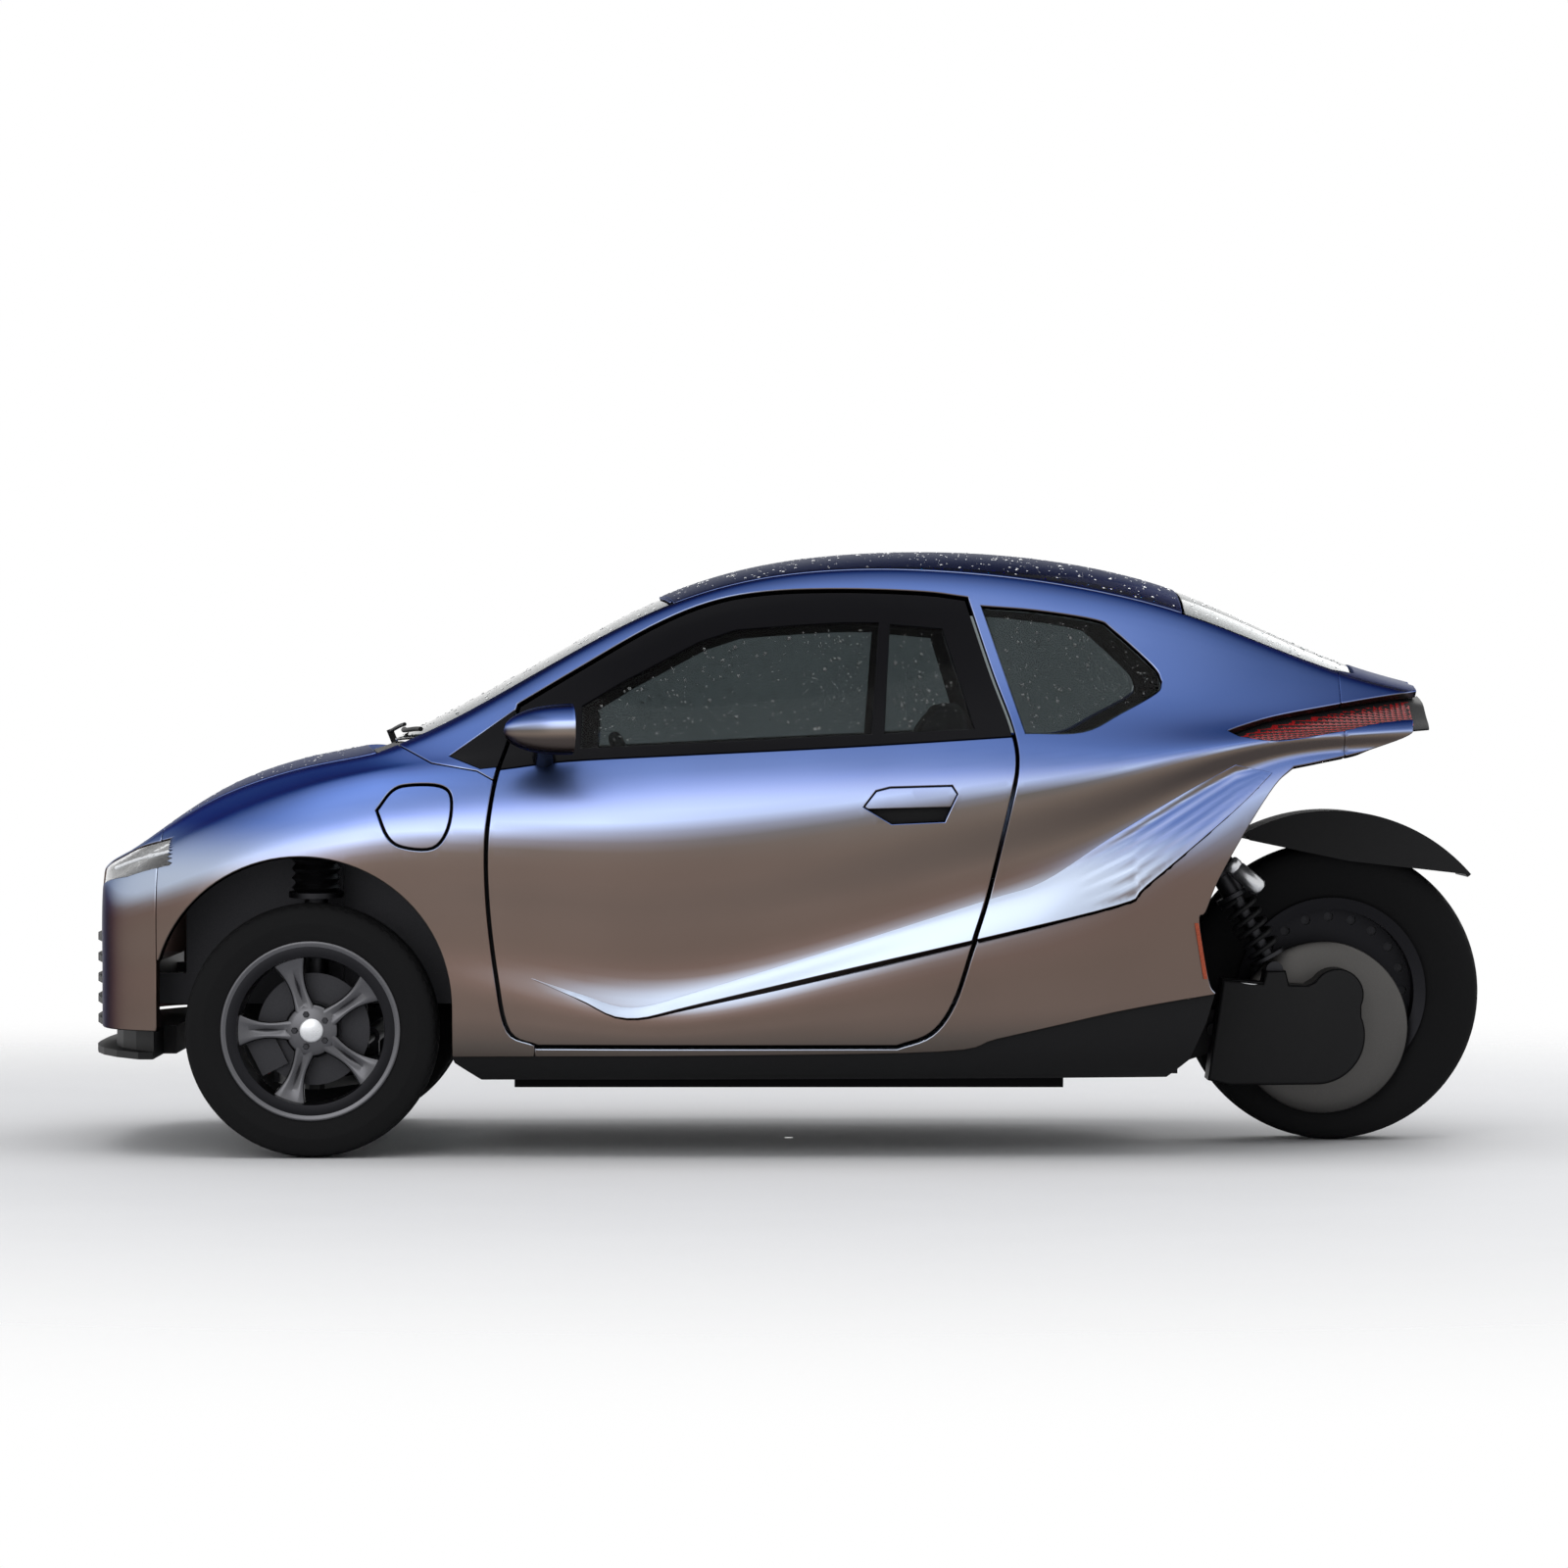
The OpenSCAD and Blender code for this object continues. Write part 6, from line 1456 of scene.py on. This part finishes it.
@dataclass
class Cabin:
    """Dashboard and steering wheel."""

    def build(self) -> None:
        """Dashboard as one smooth profile along Y, bowed in plan."""
        loop = smooth([[-724, 570], [-724, 790], [-660, 868], [-580, 876], [-500, 830], [-474, 760], [-545, 700],
                       [-585, 580],
                       [-724, 570]], 6)[:-1]
        y = np.linspace(-556, 556, 40)[:, None]
        x = loop[None, :, 0] - 26 * (y / 556)**2 * (loop[None, :, 0] + 724) / 250
        grid = np.stack([x, y + 0 * x, loop[None, :, 1] + 0 * y], 2)
        mesh("dash_form", sheet(grid, round_v=True, capped=True), "body", BLACK)

    def dress(self) -> None:
        """Finish of the steering wheel and column."""
        wear(BLACK, "dashboard", "steering_wheel")


@dataclass
class Rain:
    """Beads of rain on glass and roof.

    Attributes:
        seed: Start of the random places.
    """

    seed: int = 7

    def build(self) -> None:
        """Beads on each pane and on the upper panels, riding with what they lie on."""
        rng = np.random.default_rng(self.seed)
        fields = [("roof", ROOF, Side.BOTH, 0.0, "body", 900), ("screen", SCREEN, Side.BOTH, GLASS_IN, "body", 500),
                  ("hatch", HATCH, Side.BOTH, 2.0, "hatch", 500), ("hood", HOOD, Side.BOTH, 0.0, "hood", 260)]
        for half, name in HALVES:
            fields += [(f"door_{name}_{k}", p, half, GLASS_IN, f"door_{name}", n) for k, (p,
                                                                                          n) in enumerate(zip(PANES,
                                                                                                              (420,
                                                                                                               130)))]
            fields.append((f"quarter_{name}", QUARTER, half, GLASS_IN, "body", 240))
        for name, outline, half, inset, body, count in fields:
            mesh(f"rain_{name}", self.beads(rng, outline.grown(-14), half, inset, count), body, WATER)

    @staticmethod
    def beads(rng: np.random.Generator, outline: Outline, half: Side, inset: float, count: int) -> Solid:
        """Domes scattered inside an outline: each is a flattened half sphere with a flat foot.

        Args:
            rng: Source of the random places.
            outline: Where they lie.
            half: Side of the car.
            inset: Depth of the carrying surface.
            count: How many.
        Returns:
            All domes as one mesh.
        """
        lo, hi = outline.points.min(0), outline.points.max(0)
        spots = lo + rng.random((count * 4, 2)) * (hi - lo)
        u, v, good = LOFT.find(outline.view, spots, half.value or 1)
        p, n = LOFT.normal(u, v)
        good &= outline.contains(p)
        p, n = p[good][:count], n[good][:count]
        size = np.clip(rng.lognormal(0.55, 0.5, len(p)), 0.7, 5.0)[:, None, None]
        side_way = np.cross(n, [0.0, 0.0, 1.0] if half is not Side.BOTH else [0.0, 1.0, 0.0])
        side_way /= np.linalg.norm(side_way, axis=1)[:, None]
        other = np.cross(n, side_way)
        t = np.array([0.35, 0.75, 1.15, math.pi / 2])[None, :, None, None]
        a = np.linspace(0, 2 * math.pi, 8, endpoint=False)[None, None, :, None]
        flat = size[:, :, :, None] * np.sin(t)
        dome = (p[:, None, None] - n[:, None, None] * inset + flat * (np.cos(a) * side_way[:, None, None]
                + np.sin(a) * other[:, None, None]) + n[:, None, None] * (0.5 * size[:, :, :, None] * np.cos(t)))
        ring = np.arange(8)
        quads = [np.stack([k * 8 + ring, k * 8 + (ring + 1) % 8, k * 8 + 8 + (ring + 1) % 8, k * 8 + 8 + ring], 1)
                 for k in range(3)]
        start = np.arange(len(p))[:, None, None] * 32
        faces = (np.vstack(quads)[None] + start).reshape(-1, 4).tolist()
        faces += (ring[None] + start[:, 0]).tolist() + (ring[::-1][None] + 24 + start[:, 0]).tolist()
        return Solid(dome.reshape(-1, 3), faces)


@dataclass
class Studio:
    """Floor, light and camera."""

    eye: tuple[float, float, float] = (-0.011, -14.4, 1.0)
    lens: float = 141.1
    tilt: float = 0.68
    pale: tuple[float, float, float, float] = (1.0, 1.0, 1.0, 1.0)
    lamps: list[tuple[tuple[float, float, float], float, float]] = field(default_factory=lambda: [
        ((0.0, -1.0, 6.0), 7.0, 200.0), ((-3.0, -8.0, 3.2), 5.0, 130.0), ((4.0, 6.0, 4.0), 5.0, 120.0)])

    def build(self) -> None:
        """Camera at the photograph's angle, soft lamps, a pale floor that fades out."""
        scene = bpy.context.scene
        data = bpy.data.cameras.new("camera")
        data.lens, data.sensor_width = self.lens, 36.0
        data.clip_end = 200.0
        camera = bpy.data.objects.new("camera", data)
        camera.location = self.eye
        camera.rotation_euler = (math.radians(90 - self.tilt), 0, 0)
        scene.collection.objects.link(camera)
        scene.camera = camera
        scene.view_settings.view_transform = "Standard"
        for k, (place, size, power) in enumerate(self.lamps):
            light = bpy.data.lights.new(f"soft_{k}", "AREA")
            light.size, light.energy = size, power
            lamp = bpy.data.objects.new(f"soft_{k}", light)
            lamp.location = place
            lamp.rotation_euler = (Vector((0, 0, 0.5)) - Vector(place)).to_track_quat("-Z", "Y").to_euler()
            scene.collection.objects.link(lamp)
        self.build_world(scene)
        self.build_floor(scene)

    def build_world(self, scene: bpy.types.Scene) -> None:
        """Pale surroundings for what is seen or mirrored, a dimmer one for the light they give."""
        world = bpy.data.worlds.new("surroundings")
        scene.world = world
        world.use_nodes = True
        tree = world.node_tree
        back = tree.nodes["Background"]
        path = tree.nodes.new("ShaderNodeLightPath")
        seen = tree.nodes.new("ShaderNodeMath")
        seen.operation = "MAXIMUM"
        tree.links.new(path.outputs["Is Camera Ray"], seen.inputs[0])
        more = tree.nodes.new("ShaderNodeMath")
        more.operation = "MAXIMUM"
        tree.links.new(path.outputs["Is Glossy Ray"], more.inputs[0])
        tree.links.new(path.outputs["Is Transmission Ray"], more.inputs[1])
        tree.links.new(more.outputs[0], seen.inputs[1])
        tone = tree.nodes.new("ShaderNodeMix")
        tone.data_type = "RGBA"
        tone.inputs[6].default_value = (0.42, 0.43, 0.45, 1)
        tone.inputs[7].default_value = self.pale
        tree.links.new(seen.outputs[0], tone.inputs[0])
        tree.links.new(tone.outputs[2], back.inputs["Color"])

    def build_floor(self, scene: bpy.types.Scene) -> None:
        """Round floor whose cover fades with the distance from the car."""
        a = np.linspace(0, 2 * math.pi, 96, endpoint=False)
        r = np.array([0.01, 3.0, 6.0, 12.0, 30.0])[:, None]
        disc = sheet(np.stack([r * np.cos(a), r * np.sin(a), 0 * r * a], 2) * 1000, round_v=True)
        data = bpy.data.meshes.new("floor")
        data.from_pydata((disc.points * MM).tolist(), [], disc.faces)
        s = Shader("floor")
        s.set(Roughness=0.7)
        g = s.grain(60.0)
        s.link(s.mix(g.outputs["Value"], (0.78, 0.78, 0.785), (0.84, 0.84, 0.845)), s.surface.inputs["Base Color"])
        place = s.tree.nodes.new("ShaderNodeTexCoord")
        far = s.tree.nodes.new("ShaderNodeVectorMath")
        far.operation = "LENGTH"
        s.link(place.outputs["Object"], far.inputs[0])
        fade = s.tree.nodes.new("ShaderNodeMapRange")
        fade.interpolation_type = "SMOOTHSTEP"
        for key, value in {"From Min": 1.9, "From Max": 6.0, "To Min": 1.0, "To Max": 0.0}.items():
            fade.inputs[key].default_value = value
        s.link(far.outputs["Value"], fade.inputs["Value"])
        s.link(fade.outputs["Result"], s.surface.inputs["Alpha"])
        data.materials.append(s.material)
        floor = bpy.data.objects.new("floor", data)
        scene.collection.objects.link(floor)


def main() -> None:
    """Builds every sub-assembly in order."""
    logging.basicConfig(level=logging.INFO, format="%(message)s")
    Studio().build()
    shell = BodyShell()
    shell.build()
    shell.dress()
    Lid().build()
    for half, name in HALVES:
        Door(half, name).build()
        FrontWheel(half, name).build()
    Seat().build()
    logging.info("body, doors, front wheels and seats stand")
    Lamps().build()
    Wiper().build()
    Rain().build()
    rear = RearEnd()
    rear.build()
    rear.dress()
    Chassis().dress()
    cabin = Cabin()
    cabin.build()
    cabin.dress()


if __name__ == "__main__":
    main()
